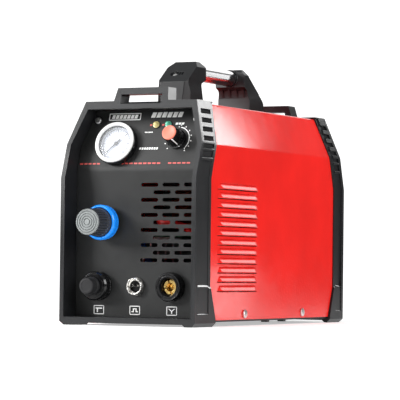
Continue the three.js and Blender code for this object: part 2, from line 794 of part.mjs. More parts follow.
function tower(sideView, facet) {
  let body = prismX(sideView.map(([y, z]) => [FRONT + y, z]), -HALF, HALF);
  body = body.intersect(prismY(towerEndView(), FRONT, 0));
  body = body.intersect(prismZ(towerPlan(sideView[0][0]), TOWER_BASE - PAST, TOWER_TOP + PAST));
  const tubeAxis = station(0, TUBE_HEIGHT, 0, 0, FRONT + TOWER_REACH, 1);
  const pocket = facetFrame(facet, SCREW_OFFSET);
  const slots = GRIP_SLOT_X.map((x) => stationBlock(facetFrame(facet, x), 0.7, 2.6, -2, PAST));
  const cuts = [
    disc(TUBE_RADIUS + GAP, -TUBE_INSERTION - PAST, PAST, tubeAxis, TUBE_ROUND),
    disc(POCKET_RADIUS, -POCKET_DEPTH, PAST, pocket, HOLE_ROUND),
    disc(HOLE.screw, -POCKET_DEPTH - HANDLE_SCREW.length - PAST, PAST, pocket, HOLE_ROUND),
    ...slots,
  ];
  return body.subtract(joined(cuts));
}

const FRONT_FACET = [FRONT_TOWER[1], FRONT_TOWER[2]];
const REAR_FACET = [REAR_TOWER[2], REAR_TOWER[3]];

function towerScrew(facet) {
  const seat = facetFrame(facet, SCREW_OFFSET).multiply(upright(0, 0, -POCKET_DEPTH));
  return panScrew(seat, HANDLE_SCREW);
}

addPart('handle_tower_front', tower(FRONT_TOWER, FRONT_FACET), 'black_plastic');
addPart('handle_tower_rear', tower(REAR_TOWER, REAR_FACET), 'black_plastic').rotation.z = Math.PI;
addPart('handle_screw_front', towerScrew(FRONT_FACET), 'zinc');
addPart('handle_screw_rear', towerScrew(REAR_FACET), 'zinc').rotation.z = Math.PI;

function handleTube() {
  const reach = REAR - TOWER_REACH + TUBE_INSERTION;
  const frame = station(0, TUBE_HEIGHT, 0, 0, 0, 1);
  return ring(TUBE_RADIUS - TUBE_WALL, TUBE_RADIUS, -reach, reach, frame, TUBE_ROUND);
}

addPart('handle_tube', handleTube(), 'chrome');

// ---------------------------------------------------------------- pressure gauge

const GAUGE_PROUD = 10;
const GAUGE_BACK = 24;
const GAUGE_BARREL = 19;
const GAUGE_STEM = { radius: 3.2, length: 9 };
const GAUGE_FRAME = frontUpper(GAUGE_X, GAUGE_HEIGHT);
const DIAL_RADIUS = GAUGE_RADIUS - 3.9;
const NEEDLE_ANGLE = THREE.MathUtils.degToRad(225);
const NEEDLE_TIP = 14.5;
const NEEDLE_TAIL = 6;

function gaugeCase() {
  const profile = [
    [0, -GAUGE_BACK],
    [GAUGE_BARREL, -GAUGE_BACK],
    [GAUGE_BARREL, GAP],
    [GAUGE_RADIUS + 0.8, GAP],
    [GAUGE_RADIUS + 0.8, GAUGE_PROUD - 2.5],
    [GAUGE_RADIUS - 3.5, GAUGE_PROUD - 2.5],
    [GAUGE_RADIUS - 3.5, 2.5],
    [0, 2.5],
  ];
  const stemEnd = -GAUGE_BACK - GAUGE_STEM.length;
  const stem = disc(GAUGE_STEM.radius, stemEnd, -GAUGE_BACK + PAST, GAUGE_FRAME, HOLE_ROUND);
  return turned(profile, GAUGE_FRAME).add(stem);
}

function gaugeRim() {
  const profile = [
    [DIAL_RADIUS, 7.8],
    [GAUGE_RADIUS, 7.8],
    [GAUGE_RADIUS, 9],
    [GAUGE_RADIUS - 1, GAUGE_PROUD],
    [DIAL_RADIUS + 0.6, GAUGE_PROUD],
    [DIAL_RADIUS, 7.8],
  ];
  return turned(profile, GAUGE_FRAME);
}

addPart('gauge_case', gaugeCase(), 'knob_black');
addPart('gauge_rim', gaugeRim(), 'white_plastic');
addPart('gauge_dial', ring(1.6, DIAL_RADIUS, 2.8, 3.6, GAUGE_FRAME), 'white_plastic');
addPart('gauge_glass', disc(DIAL_RADIUS - 0.3, 7, 8.2, GAUGE_FRAME), 'clear_glass');

function gaugeNeedle() {
  const spin = new THREE.Matrix4().makeRotationZ(NEEDLE_ANGLE);
  const frame = GAUGE_FRAME.clone().multiply(spin);
  const pointer = [[-NEEDLE_TAIL, -0.9], [NEEDLE_TIP, -0.2], [NEEDLE_TIP, 0.2], [-NEEDLE_TAIL, 0.9]];
  const blade = extruded(outline(pointer), 0.5);
  blade.translate(0, 0, 4.6);
  blade.applyMatrix4(frame);
  const hub = disc(2, 4.2, 5.8, frame, HOLE_ROUND);
  const arbor = disc(0.9, 2.9, 4.6, frame, HOLE_ROUND);
  return joined([solidFrom(blade), hub, arbor]);
}

addPart('gauge_needle', gaugeNeedle(), 'needle_black');

// ---------------------------------------------------------------- lamps and current control

function lamp(x) {
  const profile = [
    [0, -9], [2.5, -9], [2.5, GAP], [3.5, GAP], [3.5, 1.4], [2.6, 1.6], [2.4, 3.4], [1.4, 4.6], [0, 5],
  ];
  return turned(profile, frontUpper(x, LAMP_HEIGHT), HOLE_ROUND);
}

addPart('lamp_fault', lamp(LAMP_X.lamp_fault), 'amber_lens');
addPart('lamp_power', lamp(LAMP_X.lamp_power), 'green_lens');

const AMP_FRAME = frontUpper(AMP_X, AMP_HEIGHT);
const AMP_PROUD = 20;

function ampPotentiometer() {
  const can = disc(8.5, -12, -SHEET - GAP, AMP_FRAME);
  const bush = disc(3.5, -SHEET - PAST, 5, AMP_FRAME, HOLE_ROUND);
  const shaft = disc(2.9, 4, 12, AMP_FRAME, HOLE_ROUND);
  return joined([can, bush, shaft]);
}

function ampKnob() {
  const profile = [
    [0, 12.6],
    [3.2, 12.6],
    [3.2, 6],
    [5, 6],
    [5, 1],
    [10.5, 1],
    [10.5, 3],
    [8.8, 5],
    [8.2, AMP_PROUD - 1.2],
    [0, AMP_PROUD - 1.2],
  ];
  return turned(profile, AMP_FRAME);
}

addPart('amp_potentiometer', ampPotentiometer(), 'aluminium');
addPart('amp_knob', ampKnob(), 'knob_black');
addPart('amp_knob_cap', disc(7.8, AMP_PROUD - 0.9, AMP_PROUD + 0.4, AMP_FRAME), 'orange_plastic');

// ---------------------------------------------------------------- air regulator

const REGULATOR_FRAME = frontLower(REGULATOR_X, REGULATOR_HEIGHT);
const KNOB_REACH = FRONT_RECESS + KNOB_OVERHANG;
const REGULATOR_BLOCK = { half: 19, back: 44 };
const REGULATOR_PORT_DEPTH = 26;
const REGULATOR_BOWL = { radius: 13, low: -48, high: -18 };
const SPINDLE_BORE = 4.4;
const SPINDLE_RADIUS = 3.6;

// The panel nut clamps the bonnet, and the marking ring stands on the nut around the knob's skirt.
function regulatorNut() {
  const profile = [[10.4, GAP], [14, GAP], [14, 5.4], [13, 6.4], [10.4, 6.4], [10.4, GAP]];
  return turned(profile, REGULATOR_FRAME);
}

function regulatorRing() {
  const profile = [
    [10.8, 6.7], [18, 6.7], [18, 15], [16.6, 17.2], [15.2, 17.2], [15.2, 8.6], [10.8, 8.6], [10.8, 6.7],
  ];
  return turned(profile, REGULATOR_FRAME);
}

function regulatorKnob() {
  const profile = [
    [0, 26],
    [4.4, 26],
    [4.4, 13],
    [12.4, 13],
    [12.4, 9],
    [14.7, 9],
    [14.5, 20],
    [13.4, KNOB_REACH - 1],
    [12.8, KNOB_REACH],
    [0, KNOB_REACH],
  ];
  return turned(profile, REGULATOR_FRAME);
}

function regulatorBody() {
  const { half, back } = REGULATOR_BLOCK;
  const { radius, low, high } = REGULATOR_BOWL;
  const middle = FRONT + FRONT_RECESS + REGULATOR_PORT_DEPTH;
  const bowlFrame = upright(REGULATOR_X, middle, REGULATOR_HEIGHT);
  const bonnet = disc(9.7, -14, 3, REGULATOR_FRAME);
  const bodyBlock = stationBlock(REGULATOR_FRAME, half, half, -back, -SHEET - GAP);
  const port = disc(5, half - PAST, half + 8, bowlFrame, HOLE_ROUND);
  const bowl = disc(radius, low, high, bowlFrame);
  const bore = disc(SPINDLE_BORE, -12, 4, REGULATOR_FRAME, HOLE_ROUND);
  return joined([bonnet, bodyBlock, port, bowl]).subtract(bore);
}

function regulatorSpindle() {
  return disc(SPINDLE_RADIUS, -11, 22, REGULATOR_FRAME, HOLE_ROUND);
}

addPart('regulator_nut', regulatorNut(), 'knob_black');
addPart('regulator_ring', regulatorRing(), 'blue_plastic');
addPart('regulator_knob', regulatorKnob(), 'grey_plastic');
addPart('regulator_body', regulatorBody(), 'aluminium');
addPart('regulator_spindle', regulatorSpindle(), 'brass');

// ---------------------------------------------------------------- sockets

const TORCH_FRAME = frontLower(TORCH_X, SOCKET_HEIGHT);
const CONTROL_FRAME = frontLower(CONTROL_X, SOCKET_HEIGHT);
const WORK_FRAME = frontLower(WORK_X, SOCKET_HEIGHT);
const TORCH_DEPTH = 24;
const WORK_DEPTH = 38;
const PIN_SPREAD = 2.6;
const PIN_RAISE = 0.8;

function torchConnector() {
  const profile = [
    [0, -TORCH_DEPTH], [8, -TORCH_DEPTH], [8, -8], [10.6, -8], [10.6, GAP], [15, GAP], [15, 11], [13.4, 13],
    [12.2, 13], [12.2, 15], [7.4, 15], [7.4, 22], [0, 22],
  ];
  return turned(profile, TORCH_FRAME);
}

function torchDustCap() {
  const profile = [
    [0, 22.4], [7.8, 22.4], [7.8, 15.4], [9.4, 15.4], [9.4, 18], [8.4, 19], [8.1, 27.4], [7.4, 28], [0, 28],
  ];
  return turned(profile, TORCH_FRAME);
}

function controlSocketShell() {
  const profile = [
    [6.2, -9], [7, -9], [7, GAP], [9.6, GAP], [9.6, 3], [8.6, 4], [8.6, 5.4], [7.2, 5.4], [7, 2.5],
    [6.2, 2.5], [6.2, -9],
  ];
  return turned(profile, CONTROL_FRAME);
}

function controlSocketInsert() {
  const puck = disc(5.9, -12, -1, CONTROL_FRAME);
  const pins = [-PIN_SPREAD, PIN_SPREAD].map((x) => {
    const seat = CONTROL_FRAME.clone().multiply(upright(x, PIN_RAISE));
    return disc(0.8, -2, 3.2, seat, SCREW_HOLE_ROUND);
  });
  return joined([puck, ...pins]);
}

function workSocketBody() {
  const profile = [
    [8.2, -22], [11.6, -22], [11.6, GAP], [15, GAP], [15, 8], [13.6, 10], [9.6, 10], [8.2, 7.5], [8.2, -22],
  ];
  return turned(profile, WORK_FRAME);
}

function workSocketContact() {
  const sleeve = ring(4.4, 7.2, -30, 4.6, WORK_FRAME);
  const stud = disc(4, -WORK_DEPTH, -28, WORK_FRAME, HOLE_ROUND);
  const floor = disc(6, -32, -26, WORK_FRAME);
  return joined([sleeve, stud, floor]);
}

addPart('torch_connector', torchConnector(), 'knob_black');
addPart('torch_dust_cap', torchDustCap(), 'rubber');
addPart('control_socket_shell', controlSocketShell(), 'nickel');
addPart('control_socket_insert', controlSocketInsert(), 'knob_black');
addPart('work_socket_body', workSocketBody(), 'knob_black');
addPart('work_socket_contact', workSocketContact(), 'brass');

// ---------------------------------------------------------------- rear services

const FAN_FRAME = rearLower(0, FAN_HEIGHT);
const FAN_FACE = -SHEET - GAP;
const FAN_BORE = 43.5;
const FAN_SWEEP = 41.5;
const FAN_HUB = 17;
const FAN_SPIDER = 3;
const FAN_POST = 2.4;
const FAN_BEARING = 2.7;
const BLADE_PITCH = 0.62;
const FAN_ROUND = 28;

function fanHousing() {
  const plate = stationBlock(FAN_FRAME, FAN_SIZE / 2, FAN_SIZE / 2, FAN_FACE - FAN_DEPTH, FAN_FACE);
  const back = FAN_FACE - FAN_DEPTH;
  const bore = disc(FAN_BORE, back - PAST, FAN_FACE + PAST, FAN_FRAME, FAN_ROUND);
  const hub = disc(FAN_HUB, back, back + FAN_SPIDER, FAN_FRAME);
  const arms = [0, 1].map((turn) => {
    const frame = FAN_FRAME.clone().multiply(new THREE.Matrix4().makeRotationZ((turn * Math.PI) / 2));
    return stationBlock(frame, FAN_BORE + PAST, 2.5, back, back + FAN_SPIDER);
  });
  const post = disc(FAN_POST, back, FAN_FACE - 6, FAN_FRAME, HOLE_ROUND);
  return joined([plate.subtract(bore), hub, ...arms, post]);
}

function fanRotor() {
  const near = FAN_FACE - FAN_DEPTH + FAN_SPIDER + PAST;
  const far = FAN_FACE - 3;
  const hub = disc(FAN_HUB, near, far, FAN_FRAME);
  const bore = disc(FAN_BEARING, near - PAST, far - 2.5, FAN_FRAME, HOLE_ROUND);
  const blades = [];
  for (let index = 0; index < FAN_BLADES; index += 1) {
    const spin = new THREE.Matrix4().makeRotationZ((index * 2 * Math.PI) / FAN_BLADES);
    const pitch = new THREE.Matrix4().makeRotationX(BLADE_PITCH);
    const middle = upright(0, 0, (near + far) / 2);
    const frame = FAN_FRAME.clone().multiply(spin).multiply(middle).multiply(pitch);
    const blade = new THREE.BoxGeometry(26, 18, 1.6);
    blade.translate(28.5, 0, 0);
    blade.applyMatrix4(frame);
    blades.push(solidFrom(blade));
  }
  const sweep = disc(FAN_SWEEP, near, far, FAN_FRAME, FAN_ROUND);
  return joined([hub, ...blades]).intersect(sweep).subtract(bore);
}

function cableGland() {
  const profile = [
    [5, -12], [8, -12], [8, GAP], [11.5, GAP], [11.5, 5], [10, 6], [10, 14], [7, 19], [5, 19], [5, -12],
  ];
  return turned(profile, rearLower(GLAND_X, REAR_SERVICE_HEIGHT), HOLE_ROUND);
}

const INLET_DEPTH = 16;

function airInlet() {
  const end = REAR_RECESS + KNOB_OVERHANG;
  const profile = [
    [1.9, -INLET_DEPTH], [6.5, -INLET_DEPTH], [6.5, GAP], [10, GAP], [10, 7], [6.6, 8], [6.6, 16],
    [4.6, 18], [4.6, 22], [6, 23], [6, end - 2], [4.6, end], [1.9, end], [1.9, -INLET_DEPTH],
  ];
  return turned(profile, rearLower(INLET_X, REAR_SERVICE_HEIGHT), HOLE_ROUND);
}

function earthStud() {
  const profile = [
    [0, -8], [3, -8], [3, GAP], [6.5, GAP], [6.5, 4.5], [3, 4.5], [3, 15], [0, 15],
  ];
  return turned(profile, rearLower(0, REAR_SERVICE_HEIGHT), HOLE_ROUND);
}

addPart('fan_housing', fanHousing(), 'rubber');
addPart('fan_rotor', fanRotor(), 'rubber');
addPart('cable_gland', cableGland(), 'rubber');
addPart('air_inlet', airInlet(), 'brass');
addPart('earth_stud', earthStud(), 'zinc');

// ---------------------------------------------------------------- power switch

const SWITCH_FRAME = rearUpper(SWITCH_X, SWITCH_HEIGHT);
const ROCKER_TILT = THREE.MathUtils.degToRad(9);
const ROCKER_HALF = 7.9;

function switchFrame() {
  const flange = stationBlock(SWITCH_FRAME, 12.5, 16, GAP, 2.3);
  const can = stationBlock(SWITCH_FRAME, SWITCH_CAN.halfX, SWITCH_CAN.halfY, -20, 1);
  const well = stationBlock(SWITCH_FRAME, 8.4, 12, -12, 4);
  return joined([flange, can]).subtract(well);
}

// A rocker with two faces that meet in a shallow valley; it rests with one end in.
function switchRocker() {
  const section = [[-10.6, -4], [10.6, -4], [10.9, 4.6], [0, 2.6], [-10.9, 4.6]];
  const geometry = extruded(outline(section), 2 * ROCKER_HALF);
  geometry.translate(0, 0, -ROCKER_HALF);
  geometry.rotateY(Math.PI / 2);
  geometry.rotateX(Math.PI / 2);
  geometry.rotateX(ROCKER_TILT);
  geometry.applyMatrix4(SWITCH_FRAME);
  return solidFrom(geometry);
}

addPart('switch_frame', switchFrame(), 'knob_black');
addPart('switch_rocker', switchRocker(), 'red_plastic');

// ---------------------------------------------------------------- inverter inside

const DECK = TRAY_BOTTOM + SHEET + GAP;
const SINK_TOP = 92;
const SINK_BASE = 6;
const SINK_FINS = 36;
const SINK_LENGTH = [-50, 40];
const FIN_PITCH = 9;
const FIN_COUNT = 7;
const FIN_THICKNESS = 2;
const LEG_LENGTH = 8;

// A finned heat sink that stands on four legs; its fins run back to front.
function heatSink(left) {
  const width = (FIN_COUNT - 1) * FIN_PITCH + FIN_THICKNESS;
  const [front, rear] = SINK_LENGTH;
  const low = SINK_TOP - SINK_BASE - SINK_FINS;
  const pieces = [block(left, left + width, front, rear, SINK_TOP - SINK_BASE, SINK_TOP)];
  for (let fin = 0; fin < FIN_COUNT; fin += 1) {
    const x = left + fin * FIN_PITCH;
    pieces.push(block(x, x + FIN_THICKNESS, front, rear, low, SINK_TOP - PAST));
  }
  for (const x of [left, left + width - FIN_THICKNESS]) {
    pieces.push(block(x, x + FIN_THICKNESS, front, front + LEG_LENGTH, DECK, low + PAST));
    pieces.push(block(x, x + FIN_THICKNESS, rear - LEG_LENGTH, rear, DECK, low + PAST));
  }
  return joined(pieces);
}

const BOARD = { half: 70, front: -60, rear: 110, thickness: 2 };
const BOARD_LOW = SINK_TOP + GAP;
const BOARD_TOP = BOARD_LOW + BOARD.thickness + GAP;

function mainBoard() {
  return block(-BOARD.half, BOARD.half, BOARD.front, BOARD.rear, BOARD_LOW, BOARD_LOW + BOARD.thickness);
}

const CAPACITOR = { radius: 15, height: 45, x: 25, y: [45, 80] };

function capacitor(y) {
  const top = BOARD_TOP + CAPACITOR.height;
  const { radius, x } = CAPACITOR;
  const profile = [[0, BOARD_TOP], [radius, BOARD_TOP], [radius, top - 1], [radius - 1, top], [0, top]];
  return turned(profile, upright(x, y));
}

const CORE = { x: -34, y: 35, halfX: 28, halfY: 25, height: 62, window: 14, leg: 12, postHalf: 4.5 };

// An E core: a frame with a post up the middle of its window.
function transformerCore() {
  const { x, y, halfX, halfY, height, window, leg, postHalf } = CORE;
  const high = BOARD_TOP + height;
  const past = halfY + PAST;
  const body = block(x - halfX, x + halfX, y - halfY, y + halfY, BOARD_TOP, high);
  const hole = block(x - window, x + window, y - past, y + past, BOARD_TOP + leg, high - leg);
  const post = block(x - postHalf, x + postHalf, y - halfY, y + halfY, BOARD_TOP + PAST, high - PAST);
  return body.subtract(hole).add(post);
}

function transformerWinding() {
  const { x, y, halfX, halfY, height, window, leg, postHalf } = CORE;
  const overhang = (halfX - window) / 2;
  const low = BOARD_TOP + leg + GAP;
  const high = BOARD_TOP + height - leg - GAP;
  const wide = window - GAP;
  const long = halfY + overhang;
  const inner = postHalf + GAP;
  const coil = block(x - wide, x + wide, y - long, y + long, low, high);
  const bore = block(x - inner, x + inner, y - halfY - GAP, y + halfY + GAP, low - PAST, high + PAST);
  return coil.subtract(bore);
}

const CHOKE = { radius: 20, wire: 9, x: 34, y: -96, height: 32 };

function outputChoke() {
  const geometry = new THREE.TorusGeometry(CHOKE.radius, CHOKE.wire, 8, 16);
  geometry.rotateX(Math.PI / 2);
  geometry.translate(CHOKE.x, CHOKE.y, DECK + CHOKE.height);
  return solidFrom(geometry);
}

const PILOT_BOARD = { x: 66, front: -118, rear: -66, low: 60, high: 150, thickness: 2 };

function pilotArcBoard() {
  const { x, front, rear, low, high, thickness } = PILOT_BOARD;
  return block(x, x + thickness, front, rear, low, high);
}

const VALVE = { x: -47, y: -91, half: 15, height: 26, coil: 12, coilHeight: 30, port: 4.5, reach: 24 };
const VALVE_PORT_Z = DECK + VALVE.height / 2;

function solenoidValve() {
  const { x, y, half, height, port, reach } = VALVE;
  const top = DECK + height;
  const body = block(x - half, x + half, y - half, y + half, DECK, top);
  const coil = disc(VALVE.coil, top - PAST, top + VALVE.coilHeight, upright(x, y));
  const ports = [-1, 1].map((outward) => {
    const frame = station(x, VALVE_PORT_Z, 0, 0, y, outward);
    return disc(port, half - PAST, reach, frame, HOLE_ROUND);
  });
  return joined([body, coil, ...ports]);
}

addPart('heat_sink_left', heatSink(-64), 'aluminium');
addPart('heat_sink_right', heatSink(8), 'aluminium');
addPart('main_board', mainBoard(), 'circuit_board');
CAPACITOR.y.forEach((y, index) => addPart(`capacitor_${index + 1}`, capacitor(y), 'capacitor_sleeve'));
addPart('transformer_core', transformerCore(), 'ferrite');
addPart('transformer_winding', transformerWinding(), 'copper');
addPart('output_choke', outputChoke(), 'copper');
addPart('pilot_arc_board', pilotArcBoard(), 'circuit_board');
addPart('solenoid_valve', solenoidValve(), 'brass');

// ---------------------------------------------------------------- hoses and leads

const PANEL_FACE = FRONT + FRONT_RECESS;
const inletEnd = REAR - REAR_RECESS - INLET_DEPTH - GAP;
const regulatorBack = PANEL_FACE + REGULATOR_BLOCK.back + GAP;
const torchBack = PANEL_FACE + TORCH_DEPTH + GAP;
const valveFront = VALVE.y - VALVE.reach - GAP;
const workBack = PANEL_FACE + WORK_DEPTH + GAP;

// From the air inlet, low along the tray and up to the regulator.
const airSupplyRoute = [
  [INLET_X, inletEnd, REAR_SERVICE_HEIGHT],
  [INLET_X, inletEnd - 16, REAR_SERVICE_HEIGHT],
  [10, 100, 16],
  [0, 20, 14],
  [0, -60, 16],
  [-20, -96, 60],
  [REGULATOR_X + 2, regulatorBack + 14, REGULATOR_HEIGHT],
  [REGULATOR_X + 2, regulatorBack, REGULATOR_HEIGHT],
];
// From the valve to the torch connector.
const torchHoseRoute = [
  [TORCH_X, torchBack, SOCKET_HEIGHT],
  [TORCH_X, torchBack + 4, SOCKET_HEIGHT],
  [VALVE.x, valveFront - 4, VALVE_PORT_Z],
  [VALVE.x, valveFront, VALVE_PORT_Z],
];
// From the work socket, up behind the vents and over to the board.
const workLeadRoute = [
  [WORK_X, workBack, SOCKET_HEIGHT],
  [WORK_X, workBack + 7, SOCKET_HEIGHT],
  [WORK_X + 12, PANEL_FACE + 50, 66],
  [WORK_X + 6, PANEL_FACE + 22, 100],
  [20, PANEL_FACE + 12, 105],
  [8, PANEL_FACE + 40, 110],
  [10, BOARD.front - 6, BOARD_TOP + 6],
];
const HOSE_RADIUS = 4;

addPart('air_supply_hose', cable(airSupplyRoute, HOSE_RADIUS, 30), 'blue_hose');
addPart('torch_hose', cable(torchHoseRoute, HOSE_RADIUS, 6), 'blue_hose');
addPart('work_lead', cable(workLeadRoute, HOSE_RADIUS, 24), 'red_plastic');

export default unit;
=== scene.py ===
# Portable inverter plasma cutter, in metres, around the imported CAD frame.

import json
import math

import bmesh
import bpy
from mathutils import Matrix, Vector


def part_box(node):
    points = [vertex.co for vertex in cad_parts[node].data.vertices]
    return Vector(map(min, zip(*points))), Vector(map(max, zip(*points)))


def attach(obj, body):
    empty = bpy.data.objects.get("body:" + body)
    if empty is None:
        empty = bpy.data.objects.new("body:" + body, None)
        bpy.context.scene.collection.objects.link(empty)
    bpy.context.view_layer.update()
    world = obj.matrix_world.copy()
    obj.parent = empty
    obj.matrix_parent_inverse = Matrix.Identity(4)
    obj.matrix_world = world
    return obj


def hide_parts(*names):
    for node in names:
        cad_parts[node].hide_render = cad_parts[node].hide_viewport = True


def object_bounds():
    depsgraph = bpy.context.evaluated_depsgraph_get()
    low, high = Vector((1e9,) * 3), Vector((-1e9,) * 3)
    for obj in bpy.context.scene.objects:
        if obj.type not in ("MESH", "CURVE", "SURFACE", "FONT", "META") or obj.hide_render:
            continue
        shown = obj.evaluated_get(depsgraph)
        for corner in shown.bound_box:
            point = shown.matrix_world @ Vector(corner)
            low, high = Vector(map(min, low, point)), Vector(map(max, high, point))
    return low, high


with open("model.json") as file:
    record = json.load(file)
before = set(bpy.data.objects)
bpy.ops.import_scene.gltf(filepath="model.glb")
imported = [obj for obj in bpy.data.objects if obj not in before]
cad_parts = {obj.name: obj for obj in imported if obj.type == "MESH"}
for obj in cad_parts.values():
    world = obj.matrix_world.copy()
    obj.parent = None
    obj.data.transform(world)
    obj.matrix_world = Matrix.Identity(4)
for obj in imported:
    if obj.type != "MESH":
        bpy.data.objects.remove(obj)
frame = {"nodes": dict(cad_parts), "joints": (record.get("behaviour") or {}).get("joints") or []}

CAD_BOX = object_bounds()
MM = 0.001
SCENE = bpy.context.scene
CHASSIS = "chassis"
JOINTS = {joint["name"]: joint for joint in frame["joints"]}


def mm(*values):
    """A point or size given in millimetres, as a vector in metres."""
    return Vector(values) * MM


def center(node):
    low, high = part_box(node)
    return (low + high) / 2


def placement(place, across, up, out):
    """A frame at a point, from its three axes."""
    return Matrix.Translation(place) @ Matrix((across, up, out)).transposed().to_4x4()


# ---- camera, floor and light

CAMERA_AZIMUTH = math.radians(26.5)
CAMERA_PITCH = math.radians(1.628)
CAMERA_ROLL = math.radians(0.665)
CAMERA_DISTANCE = 2.58554
CAMERA_SIDESTEP = -0.01041
CAMERA_HEIGHT = 0.05957
CAMERA_LENS = 215.4
SENSOR_WIDTH = 36


def make_camera():
    ahead = Vector((-math.sin(CAMERA_AZIMUTH), math.cos(CAMERA_AZIMUTH), 0))
    right = Vector((math.cos(CAMERA_AZIMUTH), math.sin(CAMERA_AZIMUTH), 0))
    rise = Vector((0, 0, 1))
    place = -CAMERA_DISTANCE * ahead + CAMERA_SIDESTEP * right + CAMERA_HEIGHT * rise
    look = ahead * math.cos(CAMERA_PITCH) + rise * math.sin(CAMERA_PITCH)
    up = rise * math.cos(CAMERA_PITCH) - ahead * math.sin(CAMERA_PITCH)
    side = right * math.cos(CAMERA_ROLL) + up * math.sin(CAMERA_ROLL)
    top = up * math.cos(CAMERA_ROLL) - right * math.sin(CAMERA_ROLL)
    data = bpy.data.cameras.new("camera")
    data.lens = CAMERA_LENS
    data.sensor_width = SENSOR_WIDTH
    data.clip_start = 0.05
    data.clip_end = 60
    camera = bpy.data.objects.new("camera", data)
    camera.matrix_world = placement(place, side, top, -look)
    SCENE.collection.objects.link(camera)
    SCENE.camera = camera


def softbox(name, place, target, width, height, power):
    data = bpy.data.lights.new(name, "AREA")
    data.shape = "RECTANGLE"
    data.size = width
    data.size_y = height
    data.energy = power
    lamp = bpy.data.objects.new(name, data)
    lamp.location = place
    lamp.rotation_mode = "QUATERNION"
    lamp.rotation_quaternion = (Vector(target) - Vector(place)).to_track_quat("-Z", "Y")
    lamp.visible_camera = False
    SCENE.collection.objects.link(lamp)


# The world's strength at the heights (as a direction's Z) where its gradient starts and ends.
HORIZON, HORIZON_LIGHT = -0.05, 0.06
ZENITH, ZENITH_LIGHT = 0.9, 0.34
BACKDROP_LIGHT = 1.3


def make_world():
    """White behind the object; for lighting, dim near the horizon and bright overhead."""
    world = bpy.data.worlds.new("studio")
    world.use_nodes = True
    nodes, links = world.node_tree.nodes, world.node_tree.links
    nodes.clear()
    place = nodes.new("ShaderNodeTexCoord")
    split = nodes.new("ShaderNodeSeparateXYZ")
    links.new(place.outputs["Generated"], split.inputs[0])
    height = nodes.new("ShaderNodeMapRange")
    height.inputs["From Min"].default_value = HORIZON
    height.inputs["From Max"].default_value = ZENITH
    height.inputs["To Min"].default_value = HORIZON_LIGHT
    height.inputs["To Max"].default_value = ZENITH_LIGHT
    links.new(split.outputs["Z"], height.inputs["Value"])
    ambient = nodes.new("ShaderNodeBackground")
    ambient.inputs["Color"].default_value = (1, 1, 1, 1)
    links.new(height.outputs["Result"], ambient.inputs["Strength"])
    backdrop = nodes.new("ShaderNodeBackground")
    backdrop.inputs["Color"].default_value = (1, 1, 1, 1)
    backdrop.inputs["Strength"].default_value = BACKDROP_LIGHT
    path = nodes.new("ShaderNodeLightPath")
    mix = nodes.new("ShaderNodeMixShader")
    links.new(path.outputs["Is Camera Ray"], mix.inputs["Fac"])
    links.new(ambient.outputs[0], mix.inputs[1])
    links.new(backdrop.outputs[0], mix.inputs[2])
    out = nodes.new("ShaderNodeOutputWorld")
    links.new(mix.outputs[0], out.inputs["Surface"])
    SCENE.world = world


def make_lights():
    middle = (0, 0, 0.14)
    softbox("key_softbox", (-1.7, -1.7, 1.0), middle, 0.9, 0.9, 58)
    softbox("top_softbox", (-0.5, -1.0, 1.7), middle, 1.2, 1.2, 20)
    softbox("right_softbox", (1.9, -0.7, 1.0), middle, 1.0, 1.0, 31)
    softbox("back_softbox", (-0.45, 2.1, 1.0), middle, 1.85, 1.25, 8)


# The camera's line of sight, mirrored in the cover's sloping face and in a flat side face.
MIRRORED_IN_CHAMFER = Vector((0.333, 0.895, 0.297))
MIRRORED_IN_SIDE = Vector((0.44, 0.897, 0))

# name: the pieces it lights, its target, the way and distance to it, its width, height and power
PIECE_LIGHTS = {
    "corner_softbox": (["cover_shell"], (0.073, -0.17, 0.18), MIRRORED_IN_CHAMFER, 0.42, 0.07, 0.07, 0.15),
    "low_corner_softbox": (["cover_shell"], (0.0753, -0.14, 0.03), MIRRORED_IN_SIDE, 0.4, 0.08, 0.06, 0.035),
    "lips_softbox": (["bezel_front", "bezel_rear"], (0.075, -0.17, 0.15), (0.14, 0.895, 0.4), 1.6,
                     0.34, 0.3, 4.5),
    "pads_softbox": (["bezel_front"], (0.07, -0.175, 0.2), MIRRORED_IN_CHAMFER, 0.42, 0.12, 0.12, 0.36),
    "louvre_softbox": (["cover_louvres"], (0.077, -0.09, 0.1), (0.16, 0.895, 0.415), 1.6, 0.5, 0.6, 1.9),
    "gable_softbox": (["cover_louvres"], (0.077, -0.09, 0.1), (1.5, 0.1, 0.3), 1, 0.4, 0.4, 3),
    "grip_softbox": (["grip_tube"], (0, 0, 0.27), (0.64, 1.4, 0.09), 1, 0.26, 0.75, 0.55),
    "panel_softbox": (["screw_panel_front_left", "screw_panel_front_right", "print_upper_white",
                       "print_upper_red"], (0, -0.17, 0.2), (-0.44, -0.72, 0.54), 1.5, 0.5, 0.5, 8),
    "tower_softbox": (["tower_rear", "tower_gussets_rear"], (0, 0.1, 0.25), (-0.66, -1.34, 0.08), 1,
                      0.7, 0.5, 5.5),
}


def make_piece_lights():
    """Small cards, each flagged off from everything but the pieces that it lights."""
    for name, (pieces, target, way, distance, width, height, power) in PIECE_LIGHTS.items():
        target = Vector(target)
        softbox(name, target + distance * Vector(way), target, width, height, power)
        lit = bpy.data.collections.new(f"{name}_pieces")
        for piece in pieces:
            lit.objects.link(bpy.data.objects[piece])
        bpy.data.objects[name].light_linking.receiver_collection = lit


make_camera()
make_world()
make_lights()
SCENE.view_settings.view_transform = "Standard"

# ---- materials

# A colour mix node's sockets, whose names also belong to its number and vector sockets.
MIX_FACTOR, MIX_FIRST, MIX_SECOND, MIX_RESULT = 0, 6, 7, 2


